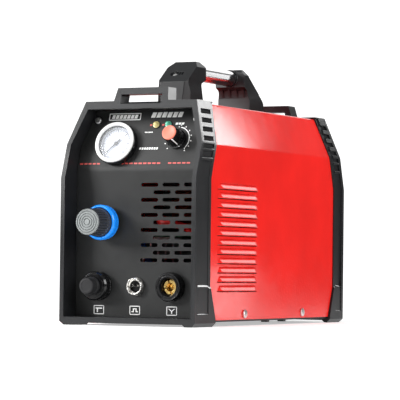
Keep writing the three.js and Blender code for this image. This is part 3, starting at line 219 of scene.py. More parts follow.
class Look:
    """A procedural material: colour patches, roughness patches and a fine bump, all in object space."""

    def __init__(self, name, color, roughness, metallic=0.0):
        self.material = bpy.data.materials.new(name)
        self.material.use_nodes = True
        self.material.diffuse_color = (*color, 1)
        self.tree = self.material.node_tree
        self.shader = self.tree.nodes["Principled BSDF"]
        self.color = color
        self.shader.inputs["Base Color"].default_value = (*color, 1)
        self.shader.inputs["Roughness"].default_value = roughness
        self.shader.inputs["Metallic"].default_value = metallic
        self.roughness = roughness
        self.place = self.tree.nodes.new("ShaderNodeTexCoord").outputs["Object"]
        self.height = None

    def node(self, kind, **values):
        node = self.tree.nodes.new(kind)
        for key, value in values.items():
            if hasattr(node, key):
                setattr(node, key, value)
            else:
                node.inputs[key].default_value = value
        return node

    def link(self, source, target):
        self.tree.links.new(source, target)

    def stretched(self, scale):
        """Object coordinates stretched by a scale per axis."""
        mapping = self.node("ShaderNodeMapping", Scale=scale)
        self.link(self.place, mapping.inputs["Vector"])
        return mapping.outputs["Vector"]

    def noise(self, scale, detail=3.0, vector=None):
        noise = self.node("ShaderNodeTexNoise", Scale=scale, Detail=detail, Roughness=0.55)
        self.link(vector or self.place, noise.inputs["Vector"])
        return noise.outputs["Fac"]

    def ranged(self, value, low, high, start=0.3, end=0.7):
        limits = {"From Min": start, "From Max": end, "To Min": low, "To Max": high}
        ranged = self.node("ShaderNodeMapRange", **limits)
        self.link(value, ranged.inputs["Value"])
        return ranged.outputs["Result"]

    def patches(self, other, scale, vector=None):
        """Base colour drifts towards another colour in noise patches."""
        mix = self.node("ShaderNodeMix", data_type="RGBA")
        mix.inputs[MIX_FIRST].default_value = (*self.color, 1)
        mix.inputs[MIX_SECOND].default_value = (*other, 1)
        share = self.ranged(self.noise(scale, vector=vector), 0, 1, start=0.35)
        self.link(share, mix.inputs[MIX_FACTOR])
        self.link(mix.outputs[MIX_RESULT], self.shader.inputs["Base Color"])
        return self

    def uneven(self, amount, scale, vector=None):
        """Roughness varies either side of its value."""
        low, high = max(0.02, self.roughness - amount), self.roughness + amount
        fac = self.ranged(self.noise(scale, vector=vector), low, high)
        self.link(fac, self.shader.inputs["Roughness"])
        return self

    def bump(self, scale, distance, strength=1.0, detail=2.0, vector=None, value=None):
        """Fine relief; calls stack."""
        bump = self.node("ShaderNodeBump", Strength=strength, Distance=distance)
        self.link(value or self.noise(scale, detail, vector), bump.inputs["Height"])
        if self.height:
            self.link(self.height, bump.inputs["Normal"])
        self.height = bump.outputs["Normal"]
        self.link(self.height, self.shader.inputs["Normal"])
        return self

    def set(self, **sockets):
        for key, value in sockets.items():
            self.shader.inputs[key.replace("_", " ")].default_value = value
        return self


def moulded(name, color, roughness, grain=1900, depth=0.000015, shine=0.5):
    """Injection-moulded plastic with a spark-eroded grain."""
    lighter = tuple(min(1, c * 1.2 + 0.001) for c in color)
    look = Look(name, color, roughness).set(Specular_IOR_Level=shine)
    return look.patches(lighter, 35).uneven(0.02, 160).bump(grain, depth, 0.5).material


def metal(name, color, roughness, brush, tint):
    """Metal with fine lines along one direction."""
    look = Look(name, color, roughness, 1.0)
    lines = look.stretched(brush)
    darker = tuple(c * tint for c in color)
    look.patches(darker, 3, vector=lines).uneven(0.07, 4, vector=lines)
    return look.bump(5, 0.00004, 0.35, vector=lines).material


def powder_coat(name, color, roughness, peel=280, depth=0.0002):
    """Powder coat: orange peel over the sheet, with a finer sparkle in it."""
    look = Look(name, color, roughness)
    look.patches(tuple(c * 0.86 for c in color), 14).uneven(0.05, 90)
    look.bump(peel, depth, 0.55, detail=1.0).bump(peel * 4, depth * 0.25, 0.4)
    return look


# name: colour, roughness, and where they differ the grain's scale and depth, and the shine
PLASTICS = {
    "black_plastic": ((0.0105, 0.011, 0.012), 0.31, 1900, 0.000015, 0.34),
    "blue_plastic": ((0.008, 0.23, 0.86), 0.25, 2600, 0.00003),
    "grey_plastic": ((0.032, 0.035, 0.042), 0.36),
    "cap_grey": ((0.2, 0.215, 0.215), 0.45),
    "knob_black": ((0.005, 0.005, 0.0055), 0.15, 2600, 0.00002, 0.4),
    "white_plastic": ((0.72, 0.72, 0.71), 0.3, 2600, 0.00002),
    "dial_white": ((0.62, 0.65, 0.74), 0.6, 3000, 0.00001),
    "needle_black": ((0.02, 0.02, 0.02), 0.4, 3000, 0.00001),
    "rubber": ((0.012, 0.012, 0.013), 0.5, 1400, 0.00008, 0.25),
    "orange_plastic": ((0.68, 0.17, 0.11), 0.42, 2600, 0.00003),
    "print_white": ((0.92, 0.92, 0.9), 0.5, 2600, 0.00002),
    "print_red": ((0.5, 0.05, 0.04), 0.5, 2600, 0.00002),
    "circuit_board": ((0.012, 0.11, 0.04), 0.36, 900, 0.0001),
    "ferrite": ((0.03, 0.03, 0.034), 0.7, 1500, 0.0001),
    "capacitor_sleeve": ((0.012, 0.02, 0.12), 0.3, 1500, 0.00003),
    "red_plastic": ((0.5, 0.008, 0.008), 0.36, 2000, 0.00003),
    "blue_hose": ((0.02, 0.12, 0.5), 0.3, 2000, 0.00003),
}
# name: colour, roughness, the lines' scale along each axis, and the share of the colour they keep
METALS = {
    "chrome": ((0.9, 0.9, 0.91), 0.09, (900, 60, 900), 0.97),
    "zinc": ((0.8, 0.8, 0.79), 0.34, (400, 400, 400), 0.85),
    "nickel": ((0.9, 0.88, 0.84), 0.24, (300, 300, 300), 0.88),
    "brass": ((0.83, 0.58, 0.2), 0.22, (500, 500, 500), 0.72),
    "aluminium": ((0.6, 0.61, 0.63), 0.38, (80, 80, 900), 0.8),
}
MAT = {name: moulded(name, *values) for name, values in PLASTICS.items()}
MAT |= {name: metal(name, *values) for name, values in METALS.items()}
MAT["panel_black"] = powder_coat("panel_black", (0.019, 0.0195, 0.0195), 0.42, 1500, 0.00005).set(
    Specular_IOR_Level=0.28).material
MAT["red_paint"] = powder_coat("red_paint", (0.75, 0.013, 0.009), 0.2).set(
    Specular_IOR_Level=0.3, Coat_Weight=0.15, Coat_Roughness=0.1).material
MAT["black_steel"] = powder_coat("black_steel", (0.012, 0.012, 0.013), 0.45, 900, 0.0001).material


def copper_wire():
    """Enamelled wire: fine parallel turns."""
    look = Look("copper", (0.62, 0.2, 0.06), 0.3, 1.0)
    wave = look.node("ShaderNodeTexWave", Scale=260.0, bands_direction="Z")
    look.link(look.place, wave.inputs["Vector"])
    look.patches((0.3, 0.08, 0.03), 60)
    return look.bump(0, 0.0006, 0.9, value=wave.outputs["Fac"]).material


def lens_plastic(name, color, glow):
    """Tinted lens with a lamp behind it."""
    look = Look(name, color, 0.12).patches(tuple(min(1, c * 1.3 + 0.05) for c in color), 600)
    look.set(Emission_Color=(*color, 1), Emission_Strength=glow, Coat_Weight=0.6)
    return look.bump(1500, 0.00003, 0.3).material


def clear_window():
    look = Look("clear_glass", (0.96, 0.98, 1.0), 0.04)
    look.set(Alpha=0.12).uneven(0.02, 60).bump(40, 0.00002, 0.2)
    look.patches((0.9, 0.93, 0.95), 20)
    return look.material


MAT["copper"] = copper_wire()
MAT["amber_lens"] = lens_plastic("amber_lens", (0.62, 0.52, 0.22), 0.2)
MAT["green_lens"] = lens_plastic("green_lens", (0.1, 0.5, 0.34), 0.2)
MAT["clear_glass"] = clear_window()
# Each material's slot, by the name that Blender gave the material.
SLOTS = {material.name: slot for slot, material in MAT.items()}


FLOOR_RADIUS = 1.1


def make_floor():
    bm = bmesh.new()
    level = Matrix.Translation((0, 0, CAD_BOX[0].z))
    bmesh.ops.create_circle(bm, cap_ends=True, segments=96, radius=FLOOR_RADIUS, matrix=level)
    data = bpy.data.meshes.new("floor")
    bm.to_mesh(data)
    bm.free()
    look = Look("floor_paint", (0.95, 0.95, 0.95), 0.7)
    look.patches((0.93, 0.93, 0.93), 2)
    look.set(Emission_Color=(1, 1, 1, 1), Emission_Strength=0.45)
    data.materials.append(look.material)
    floor = bpy.data.objects.new("floor", data)
    SCENE.collection.objects.link(floor)


make_floor()

# ---- mesh tools

SMOOTH_ANGLE = math.radians(32)
WELD = 2e-5


def soften(bm, smooth):
    """Smooth shading, apart from open edges and those that turn more than an angle."""
    for face in bm.faces:
        face.smooth = True
    for edge in bm.edges:
        edge.smooth = len(edge.link_faces) == 2 and edge.calc_face_angle(0) < smooth


def placed(name, bm, material):
    """A finished mesh as an object in the scene."""
    data = bpy.data.meshes.new(name)
    bm.to_mesh(data)
    bm.free()
    data.materials.append(MAT[material])
    piece = bpy.data.objects.new(name, data)
    SCENE.collection.objects.link(piece)
    return piece


def finish_mesh(name, bm, material, smooth=SMOOTH_ANGLE):
    bmesh.ops.recalc_face_normals(bm, faces=bm.faces)
    soften(bm, smooth)
    return placed(name, bm, material)


def thickened(piece, thickness):
    """Gives a skin its sheet's thickness, inwards."""
    sheet = piece.modifiers.new("sheet", "SOLIDIFY")
    sheet.thickness = thickness * MM
    sheet.offset = -1


def bevelled(piece, width, segments=2, angle=28):
    bevel = piece.modifiers.new("edges", "BEVEL")
    bevel.width = width * MM
    bevel.segments = segments
    bevel.limit_method = "ANGLE"
    bevel.angle_limit = math.radians(angle)
    bevel.harden_normals = True
    bevel.use_clamp_overlap = True
    return piece


def settle(piece, *nodes, body=CHASSIS, slot=None):
    """The piece rides on a body and stands for CAD nodes; its slot is worked out but not given to it."""
    slot = slot or SLOTS[piece.data.materials[0].name]
    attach(piece, body)
    if nodes:
        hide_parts(*nodes)


def cad_mesh(node):
    """A CAD node's solid with its triangles joined into flat faces."""
    source = frame["nodes"][node].data
    bm = bmesh.new()
    points = [bm.verts.new(vertex.co) for vertex in source.vertices]
    for polygon in source.polygons:
        bm.faces.new([points[index] for index in polygon.vertices])
    bmesh.ops.remove_doubles(bm, verts=bm.verts, dist=WELD)
    bmesh.ops.dissolve_limit(bm, angle_limit=math.radians(1), verts=bm.verts, edges=bm.edges)
    return bm


def moulding(node, name, material, width, body=CHASSIS, segments=2):
    """A CAD node's own shape with rounded edges."""
    piece = finish_mesh(name, cad_mesh(node), material)
    settle(bevelled(piece, width, segments), node, body=body)


def lathe(bm, profile, place, steps=64, ribs=0, depth=0.0, share=0.5):
    """Turns a closed or axis-to-axis profile of (radius, height) in mm about the local Z.

    Points with a third value, 1, sink by depth in the gaps between the ribs."""
    rings = []
    for radius, height, *rib in profile:
        if radius == 0:
            rings.append([bm.verts.new(place @ mm(0, 0, height))])
            continue
        ring = []
        for step in range(steps):
            turn = 2 * math.pi * step / steps
            inside = ribs and (step * ribs / steps) % 1 >= share
            reach = radius - (depth if inside and rib else 0)
            point = mm(reach * math.cos(turn), reach * math.sin(turn), height)
            ring.append(bm.verts.new(place @ point))
        rings.append(ring)
    closed = profile[0][0] > 0
    pairs = list(zip(rings, rings[1:])) + ([(rings[-1], rings[0])] if closed else [])
    for lower, upper in pairs:
        for step in range(steps):
            after = (step + 1) % steps
            corners = [lower[step % len(lower)], lower[after % len(lower)],
                       upper[after % len(upper)], upper[step % len(upper)]]
            unique = [v for i, v in enumerate(corners) if v not in corners[:i]]
            if len(unique) > 2:
                bm.faces.new(unique)


def turned(name, profile, place, material, steps=64, width=0.3, segments=2, **ribs):
    bm = bmesh.new()
    lathe(bm, profile, place, steps, **ribs)
    return bevelled(finish_mesh(name, bm, material), width, segments)


def prism(bm, bottom, top):
    """Closes a solid between two outlines with the same number of points."""
    bm.faces.new(top)
    bm.faces.new(bottom[::-1])
    for index in range(len(top)):
        after = (index + 1) % len(top)
        bm.faces.new([bottom[index], bottom[after], top[after], top[index]])


def plate(bm, outline, place, low, high):
    """Extrudes a flat outline in mm, local X and Y, between two local heights."""
    bottom = [bm.verts.new(place @ mm(x, y, low)) for x, y in outline]
    top = [bm.verts.new(place @ mm(x, y, high)) for x, y in outline]
    prism(bm, bottom, top)


def loop(bm, points):
    """Edges that join points into a closed loop."""
    return [bm.edges.new((point, points[(index + 1) % len(points)])) for index, point in enumerate(points)]


def rectangle(x0, x1, y0, y1):
    return [(x0, y0), (x1, y0), (x1, y1), (x0, y1)]


def arc(x, y, radius, start, end, steps):
    angles = [math.radians(start + (end - start) * k / steps) for k in range(steps + 1)]
    return [(x + radius * math.cos(a), y + radius * math.sin(a)) for a in angles]


def rounded(x0, x1, y0, y1, radius, steps=5):
    return (arc(x1 - radius, y1 - radius, radius, 0, 90, steps)
            + arc(x0 + radius, y1 - radius, radius, 90, 180, steps)
            + arc(x0 + radius, y0 + radius, radius, 180, 270, steps)
            + arc(x1 - radius, y0 + radius, radius, 270, 360, steps))


def circle(radius, steps=32):
    return arc(0, 0, radius, 0, 360, steps)[:-1]


def band(inner, outer, start, end, steps=24):
    """A stretch of a ring, between two angles in degrees."""
    return arc(0, 0, outer, start, end, steps) + arc(0, 0, inner, end, start, steps)


# ---- stations on the panels

PANEL_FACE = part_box("front_panel")[0].y / MM
REAR_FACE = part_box("rear_panel")[1].y / MM
BEND = 160
LEAN = Vector(JOINTS["amp_turn"]["axis"])
RAKE = math.atan2(LEAN.z, -LEAN.y)


def station(x, z, facing, tilt):
    """A frame on a panel: local X to the viewer's right, local Y up the panel, local Z out."""
    face = PANEL_FACE if facing < 0 else REAR_FACE
    y = face - facing * max(0, z - BEND) * math.tan(RAKE) * (1 if tilt else 0)
    angle = RAKE if tilt else 0
    across = Vector((-facing, 0, 0))
    up = Vector((0, -facing * math.sin(angle), math.cos(angle)))
    out = Vector((0, facing * math.cos(angle), math.sin(angle)))
    return placement(mm(x, y, z), across, up, out)


def front_lower(x, z):
    return station(x, z, -1, False)


def front_upper(x, z):
    return station(x, z, -1, True)


def rear_lower(x, z):
    return station(x, z, 1, False)


def rear_upper(x, z):
    return station(x, z, 1, True)


def spot(node):
    """A node's middle as (x, z) in mm."""
    middle = center(node) / MM
    return middle.x, middle.z


# ---- casing: bezels, cover, tray

SIDE_FACE = 75.3
SHOULDER = (SIDE_FACE, 184.77)
CROWN = (61.8, 227.8)
SHOULDER_ROLL = 1.6
CROWN_ROLL = 2.2
ROLL_STEPS = 4
BODY_MIDDLE = 120
COVER_BOTTOM = 6.6
COVER_FRONT = -150.7
COVER_REAR = 161.7
RAKE_START = 150
TUCK_TOP = 39
TUCK_BOTTOM = 8
TUCK = 11.3
SHEET = 1.5

LOUVRES = 12
LOUVRE_TOP = 146.5
LOUVRE_PITCH = 9.5
LOUVRE_HEIGHT = 5.8
LOUVRE_FRONT = -133.5
LOUVRE_REAR = -38
LOUVRE_SLANT = 5
LOUVRE_GABLE = 3.5
NARROWEST_GABLE = 0.02
# A hood's outer face as (how far below its top, how far out from the side).
LOUVRE_PROFILE = [
    (0, -1.2), (0.5, -0.9), (0.9, 0.05), (2.1, 0.25), (5.0, 2.1), (5.5, 2.2), (5.8, 1.9), (5.9, 1.2)]
LOUVRE_GAP = 0.9
LOUVRE_SHEET = 0.9


def cover_inset(z):
    """How far the cover's ends stand back at a height: the rake above, the tuck behind the feet below."""
    if z > RAKE_START:
        return (z - RAKE_START) * math.tan(RAKE)
    return TUCK * min(1, max(0, TUCK_TOP - z) / (TUCK_TOP - TUCK_BOTTOM))


def roll(before, corner, after, length):
    """A rounded corner between two straight runs, as points."""
    corner = Vector(corner)
    start = corner + (Vector(before) - corner).normalized() * length
    end = corner + (Vector(after) - corner).normalized() * length
    points = []
    for step in range(ROLL_STEPS + 1):
        t = step / ROLL_STEPS
        points.append(start * (1 - t) ** 2 + corner * 2 * t * (1 - t) + end * t ** 2)
    return [(point.x, point.y) for point in points]


def louvre_tops():
    return [LOUVRE_TOP - LOUVRE_PITCH * index for index in range(LOUVRES)]


def cover_side(bm, side, top):
    """A flat side with its louvre mouths cut out."""
    heights = [COVER_BOTTOM, TUCK_BOTTOM, TUCK_TOP, RAKE_START, top]
    outline = [(COVER_FRONT + cover_inset(z), z) for z in heights]
    outline += [(COVER_REAR - cover_inset(z), z) for z in reversed(heights)]
    mouth = LOUVRE_HEIGHT + LOUVRE_GAP
    mouths = [[(LOUVRE_FRONT + LOUVRE_SLANT, z), (LOUVRE_REAR - LOUVRE_SLANT, z),
               (LOUVRE_REAR, z - mouth), (LOUVRE_FRONT, z - mouth)] for z in louvre_tops()]
    edges = []
    for hole in [outline] + mouths:
        edges += loop(bm, [bm.verts.new(mm(side * SIDE_FACE, y, z)) for y, z in hole])
    bmesh.ops.triangle_fill(bm, edges=edges, use_beauty=True, normal=(side, 0, 0))


def cover_wrap(bm):
    """The rolled shoulders, chamfers and top between the two sides; returns the side's top height."""
    low = (SIDE_FACE, COVER_BOTTOM)
    half = roll(low, SHOULDER, CROWN, SHOULDER_ROLL) + roll(SHOULDER, CROWN, (0, CROWN[1]), CROWN_ROLL)
    profile = half + [(-x, z) for x, z in reversed(half)]
    rows = [[bm.verts.new(mm(x, COVER_FRONT + cover_inset(z), z)),
             bm.verts.new(mm(x, COVER_REAR - cover_inset(z), z))] for x, z in profile]
    for (front, rear), (next_front, next_rear) in zip(rows, rows[1:]):
        bm.faces.new([front, rear, next_rear, next_front])
    return half[0][1]


def face_outwards(bm):
    """Turns the faces of an open skin away from the middle of the body."""
    middle = mm(0, 0, BODY_MIDDLE)
    for face in bm.faces:
        face.normal_update()
        away = face.calc_center_median() - middle
        if face.normal.dot(Vector((away.x, 0, max(0, away.z)))) < 0:
            face.normal_flip()


def sheet_piece(name, bm, material, thickness, smooth, edge=0.2):
    """A skin that is thickened inwards, with softened edges and flat shading kept on its flats."""
    bmesh.ops.remove_doubles(bm, verts=bm.verts, dist=WELD)
    face_outwards(bm)
    soften(bm, math.radians(smooth))
    piece = placed(name, bm, material)
    thickened(piece, thickness)
    bevelled(piece, edge, angle=50)
    weighted = piece.modifiers.new("flats", "WEIGHTED_NORMAL")
    weighted.keep_sharp = True
    weighted.weight = 100
    return piece


def louvre_hood(bm, side, top):
    """A hood that leans out to its open, rolled lower lip and closes in a gable at each end."""
    rows = []
    for drop, out in LOUVRE_PROFILE:
        down = min(1, drop / LOUVRE_HEIGHT)
        edge = LOUVRE_SLANT * (1 - down)
        ridge = LOUVRE_SLANT + LOUVRE_GABLE * max(NARROWEST_GABLE, down)
        stations = [(LOUVRE_FRONT + edge, 0), (LOUVRE_FRONT + ridge, out),
                    (LOUVRE_REAR - ridge, out), (LOUVRE_REAR - edge, 0)]
        rows.append([bm.verts.new(mm(side * (SIDE_FACE + reach), y, top - drop))
                     for y, reach in stations])
    for upper, lower in zip(rows, rows[1:]):
        for index in range(3):
            bm.faces.new([upper[index], upper[index + 1], lower[index + 1], lower[index]])


def cover():
    """The wrap cover: one bent sheet, and the louvre hoods pressed out of its sides."""
    bm = bmesh.new()
    top = cover_wrap(bm)
    for side in (-1, 1):
        cover_side(bm, side, top)
    sheet = sheet_piece("cover_shell", bm, "red_paint", SHEET, 25)
    settle(sheet, "top_cover")
    bm = bmesh.new()
    for side in (-1, 1):
        for z in louvre_tops():
            louvre_hood(bm, side, z)
    settle(sheet_piece("cover_louvres", bm, "red_paint", LOUVRE_SHEET, 16, 0.1))


moulding("front_bezel", "bezel_front", "black_plastic", 1.0, segments=3)
moulding("rear_bezel", "bezel_rear", "black_plastic", 1.0, segments=3)

# The recesses between the rib pads, as (bottom, top).
RIB_RECESSES = [
    (216, 221.2), (206.6, 211.8), (197.2, 202.4), (187.8, 193), (179.5, 184.8), (170.3, 177.8)]
RIB_WIDTH = {"front_bezel": 37, "rear_bezel": 26}
RIB_FLOOR = 2.35
RIB_SLOPE = 1.8
RIB_MARGIN = 6.6
# Painted shade strips on the rib recess floors: their thickness, and their gap below each lip.
SHADE_STRIP_THICKNESS = 0.35
SHADE_STRIP_GAP = 0.3
BODY_HALF = 77.5
BEZEL_SHOULDER = 185.5
BEZEL_SLOPE = 13.5 / 44.5


def bezel_side(z, depth):
    """A point on the bezel's leaning side at a height, sunk by a depth."""
    if z <= BEZEL_SHOULDER:
        return BODY_HALF - depth, z
    length = math.hypot(1, BEZEL_SLOPE)
    x = BODY_HALF - (z - BEZEL_SHOULDER) * BEZEL_SLOPE
    return x - depth / length, z - depth * BEZEL_SLOPE / length


def painted_rib_shade(name, node, facing):
    """Dull dark strips on the floors of the recesses between the bezel's rib pads: painted shade, where the
    recesses are only shaded.
    """
    low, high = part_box(node)
    face = (low.y if facing < 0 else high.y) / MM
    bm = bmesh.new()
    for recess, lip in RIB_RECESSES:
        bottom = recess + RIB_SLOPE
        top = lip - SHADE_STRIP_GAP
        section = [bezel_side(bottom, RIB_FLOOR), bezel_side(top, RIB_FLOOR),
                   bezel_side(top, RIB_FLOOR - SHADE_STRIP_THICKNESS), bezel_side(bottom, RIB_FLOOR - SHADE_STRIP_THICKNESS)]
        for side in (-1, 1):
            rings = [[bm.verts.new(mm(side * x, face - facing * (reach + cover_inset(z)), z))
                      for x, z in section] for reach in (RIB_MARGIN, RIB_WIDTH[node] - RIB_MARGIN)]
            prism(bm, *rings)
    settle(bevelled(finish_mesh(name, bm, "rubber"), 0.1, 1))


# Painted shade: dark strips laid in the rib recesses of both bezels.
painted_rib_shade("rib_inlays_front", "front_bezel", -1)
painted_rib_shade("rib_inlays_rear", "rear_bezel", 1)
moulding("base_tray", "tray", "black_steel", 0.3)
cover()

# ---- panels

VENT_ROWS = 11
VENT_PITCH = 7.67
TOP_VENT = 143.7
VENT_HEIGHT = 4.0
GRILLE_RIB = 3
# A round end's radius falls short of the half height by this much, so that no two points meet.
ROUND_END = 0.02
FULL_ROW = [(2.4, 22), (26.9, 46.5), (51.4, 62)]
STAGGERED_ROW = [(16.7, 36.3), (41.2, 60.8)]
PANEL_OUTLINE = [(-72.5, 8.7), (72.5, 8.7), (72.5, 184.5), (59.7, 221.4), (-59.7, 221.4), (-72.5, 184.5)]
FAN_HEIGHT = 98
FAN_REACH = 41
BEND_REACH = 3
BEND_ROWS = 5


def upright_hole(x, z, outline):
    """A hole's outline about a station, flattened where the panel leans."""
    squash = math.cos(RAKE) if z > BEND else 1
    return [(x + right, z + up * squash) for right, up in outline]


def vent(start, end, z):
    """A slot with round ends."""
    half = VENT_HEIGHT / 2
    return rounded(start, end, z - half, z + half, half - ROUND_END)


def vent_slots():
    slots = []
    for row in range(VENT_ROWS):
        z = TOP_VENT - row * VENT_PITCH
        for start, end in STAGGERED_ROW if row % 2 else FULL_ROW:
            slots.append(vent(start, end, z))
    return slots


def grille_slots():
    slots = []
    for row in range(VENT_ROWS):
        offset = (row - VENT_ROWS // 2) * VENT_PITCH
        reach = math.sqrt(FAN_REACH ** 2 - offset ** 2)
        z = FAN_HEIGHT + offset
        slots.append(vent(GRILLE_RIB, reach, z))
        slots.append(vent(-reach, -GRILLE_RIB, z))
    return slots


def panel_depth(z):
    """How far a panel leans in at a height, with a rolled bend."""
    past = z - BEND
    if past <= -BEND_REACH:
        return 0
    if past >= BEND_REACH:
        return past * math.tan(RAKE)
    return (past + BEND_REACH) ** 2 / (4 * BEND_REACH) * math.tan(RAKE)


def panel(name, node, facing, holes):
    """A punched sheet, bent along a row, that stands for a CAD panel."""
    bm = bmesh.new()
    for outline in [PANEL_OUTLINE] + holes:
        loop(bm, [bm.verts.new((x * MM, z * MM, 0)) for x, z in outline])
    bmesh.ops.triangle_fill(bm, edges=bm.edges, use_beauty=True, normal=(0, 0, 1))
    for step in range(BEND_ROWS):
        row = (BEND - BEND_REACH + 2 * BEND_REACH * step / (BEND_ROWS - 1)) * MM
        everything = bm.verts[:] + bm.edges[:] + bm.faces[:]
        bmesh.ops.bisect_plane(bm, geom=everything, plane_co=(0, row, 0), plane_no=(0, 1, 0), dist=1e-7)
    face = PANEL_FACE if facing < 0 else REAR_FACE
    for vertex in bm.verts:
        x, z = vertex.co.x / MM, vertex.co.y / MM
        vertex.co = mm(x, face - facing * panel_depth(z), z)
    bmesh.ops.dissolve_limit(bm, angle_limit=math.radians(0.5), verts=bm.verts, edges=bm.edges)
    for polygon in bm.faces:
        polygon.normal_update()
        if polygon.normal.y * facing < 0:
            polygon.normal_flip()
    sheet = placed(name, bm, "panel_black")
    sheet.data.shade_smooth()
    thickened(sheet, SHEET)
    settle(bevelled(sheet, 0.25), node)


TORCH = spot("torch_connector")
CONTROL = spot("control_socket_shell")
WORK = spot("work_socket_body")
REGULATOR = spot("regulator_ring")
GAUGE = (-29.5, 185.1)
AMP = (38, 190)
LAMPS = {"lamp_fault": 11.5, "lamp_power": 25.5}
LAMP_HEIGHT = 205.5
PANEL_SCREW_X = 57
PANEL_SCREW_HEIGHT = 211
PANEL_SCREW_HOLES = [((-PANEL_SCREW_X, PANEL_SCREW_HEIGHT), 1.9), ((PANEL_SCREW_X, PANEL_SCREW_HEIGHT), 1.9)]
SWITCH_OPENING = rectangle(-10.7, 10.7, -13.9, 13.9)
GLAND = (-42, 30)
INLET = (40, 30)
EARTH = (0, 30)
SWITCH = (34, 192)


def round_holes(rounds):
    """Holes from pairs of a station and a radius."""
    return [upright_hole(x, z, circle(radius)) for (x, z), radius in rounds + PANEL_SCREW_HOLES]


def front_holes():
    rounds = [(TORCH, 11.4), (CONTROL, 7.6), (WORK, 12.4), (REGULATOR, 10.4), (GAUGE, 20.4), (AMP, 4)]
    rounds += [((x, LAMP_HEIGHT), 2.8) for x in LAMPS.values()]
    return round_holes(rounds) + vent_slots()


def rear_holes():
    rounds = [(GLAND, 8.8), (INLET, 7.2), (EARTH, 3.6)]
    return round_holes(rounds) + [upright_hole(*SWITCH, SWITCH_OPENING)] + grille_slots()


panel("panel_front", "front_panel", -1, front_holes())
panel("panel_rear", "rear_panel", 1, rear_holes())

# ---- screws

SHANK_SHARE = 0.46
RECESS_DEPTH = 1.3
HEAD_GAP = 0.3
SIDE_SCREW = {"head": 4.3, "height": 1.8}
SIDE_SCREW_HEIGHT = 12.5
SIDE_SCREW_STATIONS = (-68.4, 77.8)
PANEL_SCREW = {"head": 3.6, "height": 2}


def screw(name, node, place, head, height):
    """A pan head with a cross recess; the shank below is the CAD screw's length."""
    low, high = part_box(node)
    shank = head * SHANK_SHARE
    reach = max(high - low) / MM - height - HEAD_GAP
    top = HEAD_GAP + height
    floor = top - RECESS_DEPTH
    profile = [(0, -reach), (shank * 0.7, -reach), (shank, 1 - reach), (shank, HEAD_GAP), (head, HEAD_GAP),
               (head, top - 0.55), (head * 0.9, top - 0.2), (head * 0.66, top), (head * 0.5, top + 0.02, 1),
               (head * 0.42, floor, 1), (0, floor - 0.3)]
    piece = turned(name, profile, place, "zinc", 48, 0.08, 1, ribs=4, depth=head * 0.3, share=0.34)
    settle(piece, node)


def side_station(y, z, side):
    out = Vector((side, 0, 0))
    across = Vector((0, side, 0))
    return placement(mm(side * SIDE_FACE, y, z), across, out.cross(across), out)


for hand, side in (("right", 1), ("left", -1)):
    for number, y in enumerate(SIDE_SCREW_STATIONS, 1):
        screw(f"screw_side_{hand}_{number}", f"side_screw_{hand}_{number}",
              side_station(y, SIDE_SCREW_HEIGHT, side), **SIDE_SCREW)
    screw(f"screw_panel_front_{hand}", f"front_panel_screw_{hand}",
          front_upper(side * PANEL_SCREW_X, PANEL_SCREW_HEIGHT), **PANEL_SCREW)
    screw(f"screw_panel_rear_{hand}", f"rear_panel_screw_{hand}",
          rear_upper(side * PANEL_SCREW_X, PANEL_SCREW_HEIGHT), **PANEL_SCREW)
moulding("handle_screw_front", "screw_handle_front", "zinc", 0.15)
moulding("handle_screw_rear", "screw_handle_rear", "zinc", 0.15)

# ---- handle

TUBE_RADIUS = 8.5
TUBE_WALL = 1.5


def handle():
    low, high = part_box("handle_tube")
    middle = center("handle_tube")
    half = (high.y - low.y) / 2 / MM
    bore = TUBE_RADIUS - TUBE_WALL
    profile = [(bore, -half), (TUBE_RADIUS, -half), (TUBE_RADIUS, half), (bore, half)]
    place = Matrix.Translation(middle) @ Matrix.Rotation(math.radians(-90), 4, "X")
    settle(turned("grip_tube", profile, place, "chrome", 72), "handle_tube")
    moulding("handle_tower_front", "tower_front", "black_plastic", 1.3, segments=3)
    moulding("handle_tower_rear", "tower_rear", "black_plastic", 1.3, segments=3)
    tower_trims(middle.z / MM)


GUSSETS = [-13, -4.5, 4, 12.5]
GUSSET_THICKNESS = 1.8


def tower_trims(axis_height):
    """Collars where the tube enters, and small gussets below them."""
    for end, side in (("front", -1), ("rear", 1)):
        low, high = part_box(f"handle_tower_{end}")
        face = (high.y if side < 0 else low.y) / MM
        turn = Matrix.Rotation(math.radians(90 * side), 4, "X")
        place = Matrix.Translation(mm(0, face, axis_height)) @ turn
        collar = [(8.9, -1), (9.9, -1), (9.9, 0.7), (9.5, 1.2), (8.9, 1.2)]
        settle(turned(f"tube_collar_{end}", collar, place, "black_plastic", width=0.15))
        bm = bmesh.new()
        across = Matrix(((0, 0, 1), (side, 0, 0), (0, 1, 0))).to_4x4()
        fin = [(3.5, 257), (7, 255.2), (9.0, 250.5), (9.2, 247.8), (7.4, 251.5)]
        for x in GUSSETS:
            plate(bm, fin, Matrix.Translation(mm(0, face, 0)) @ across, x, x + GUSSET_THICKNESS)
        settle(finish_mesh(f"tower_gussets_{end}", bm, "black_plastic"))


handle()

# ---- pressure gauge

DIAL_TICKS = 25
LONG_TICK = 4
DIAL_START = 225
DIAL_SWEEP = 270
DIAL_TOP = 3.6


def bars(name, shapes, place, material, slot, low, high, body=CHASSIS):
    """Thin raised shapes on a surface: printing, ticks, signs."""
    bm = bmesh.new()
    for outline in shapes:
        plate(bm, outline, place, low, high)
    settle(finish_mesh(name, bm, material), body=body, slot=slot)


def spoke(turn, inner, outer, width):
    """A radial bar at a clock angle in degrees, anticlockwise from local X."""
    angle = math.radians(turn)
    along = Vector((math.cos(angle), math.sin(angle)))
    across = Vector((-along.y, along.x)) * width / 2
    near, far = along * inner, along * outer
    corners = [near - across, far - across, far + across, near + across]
    return [(corner.x, corner.y) for corner in corners]


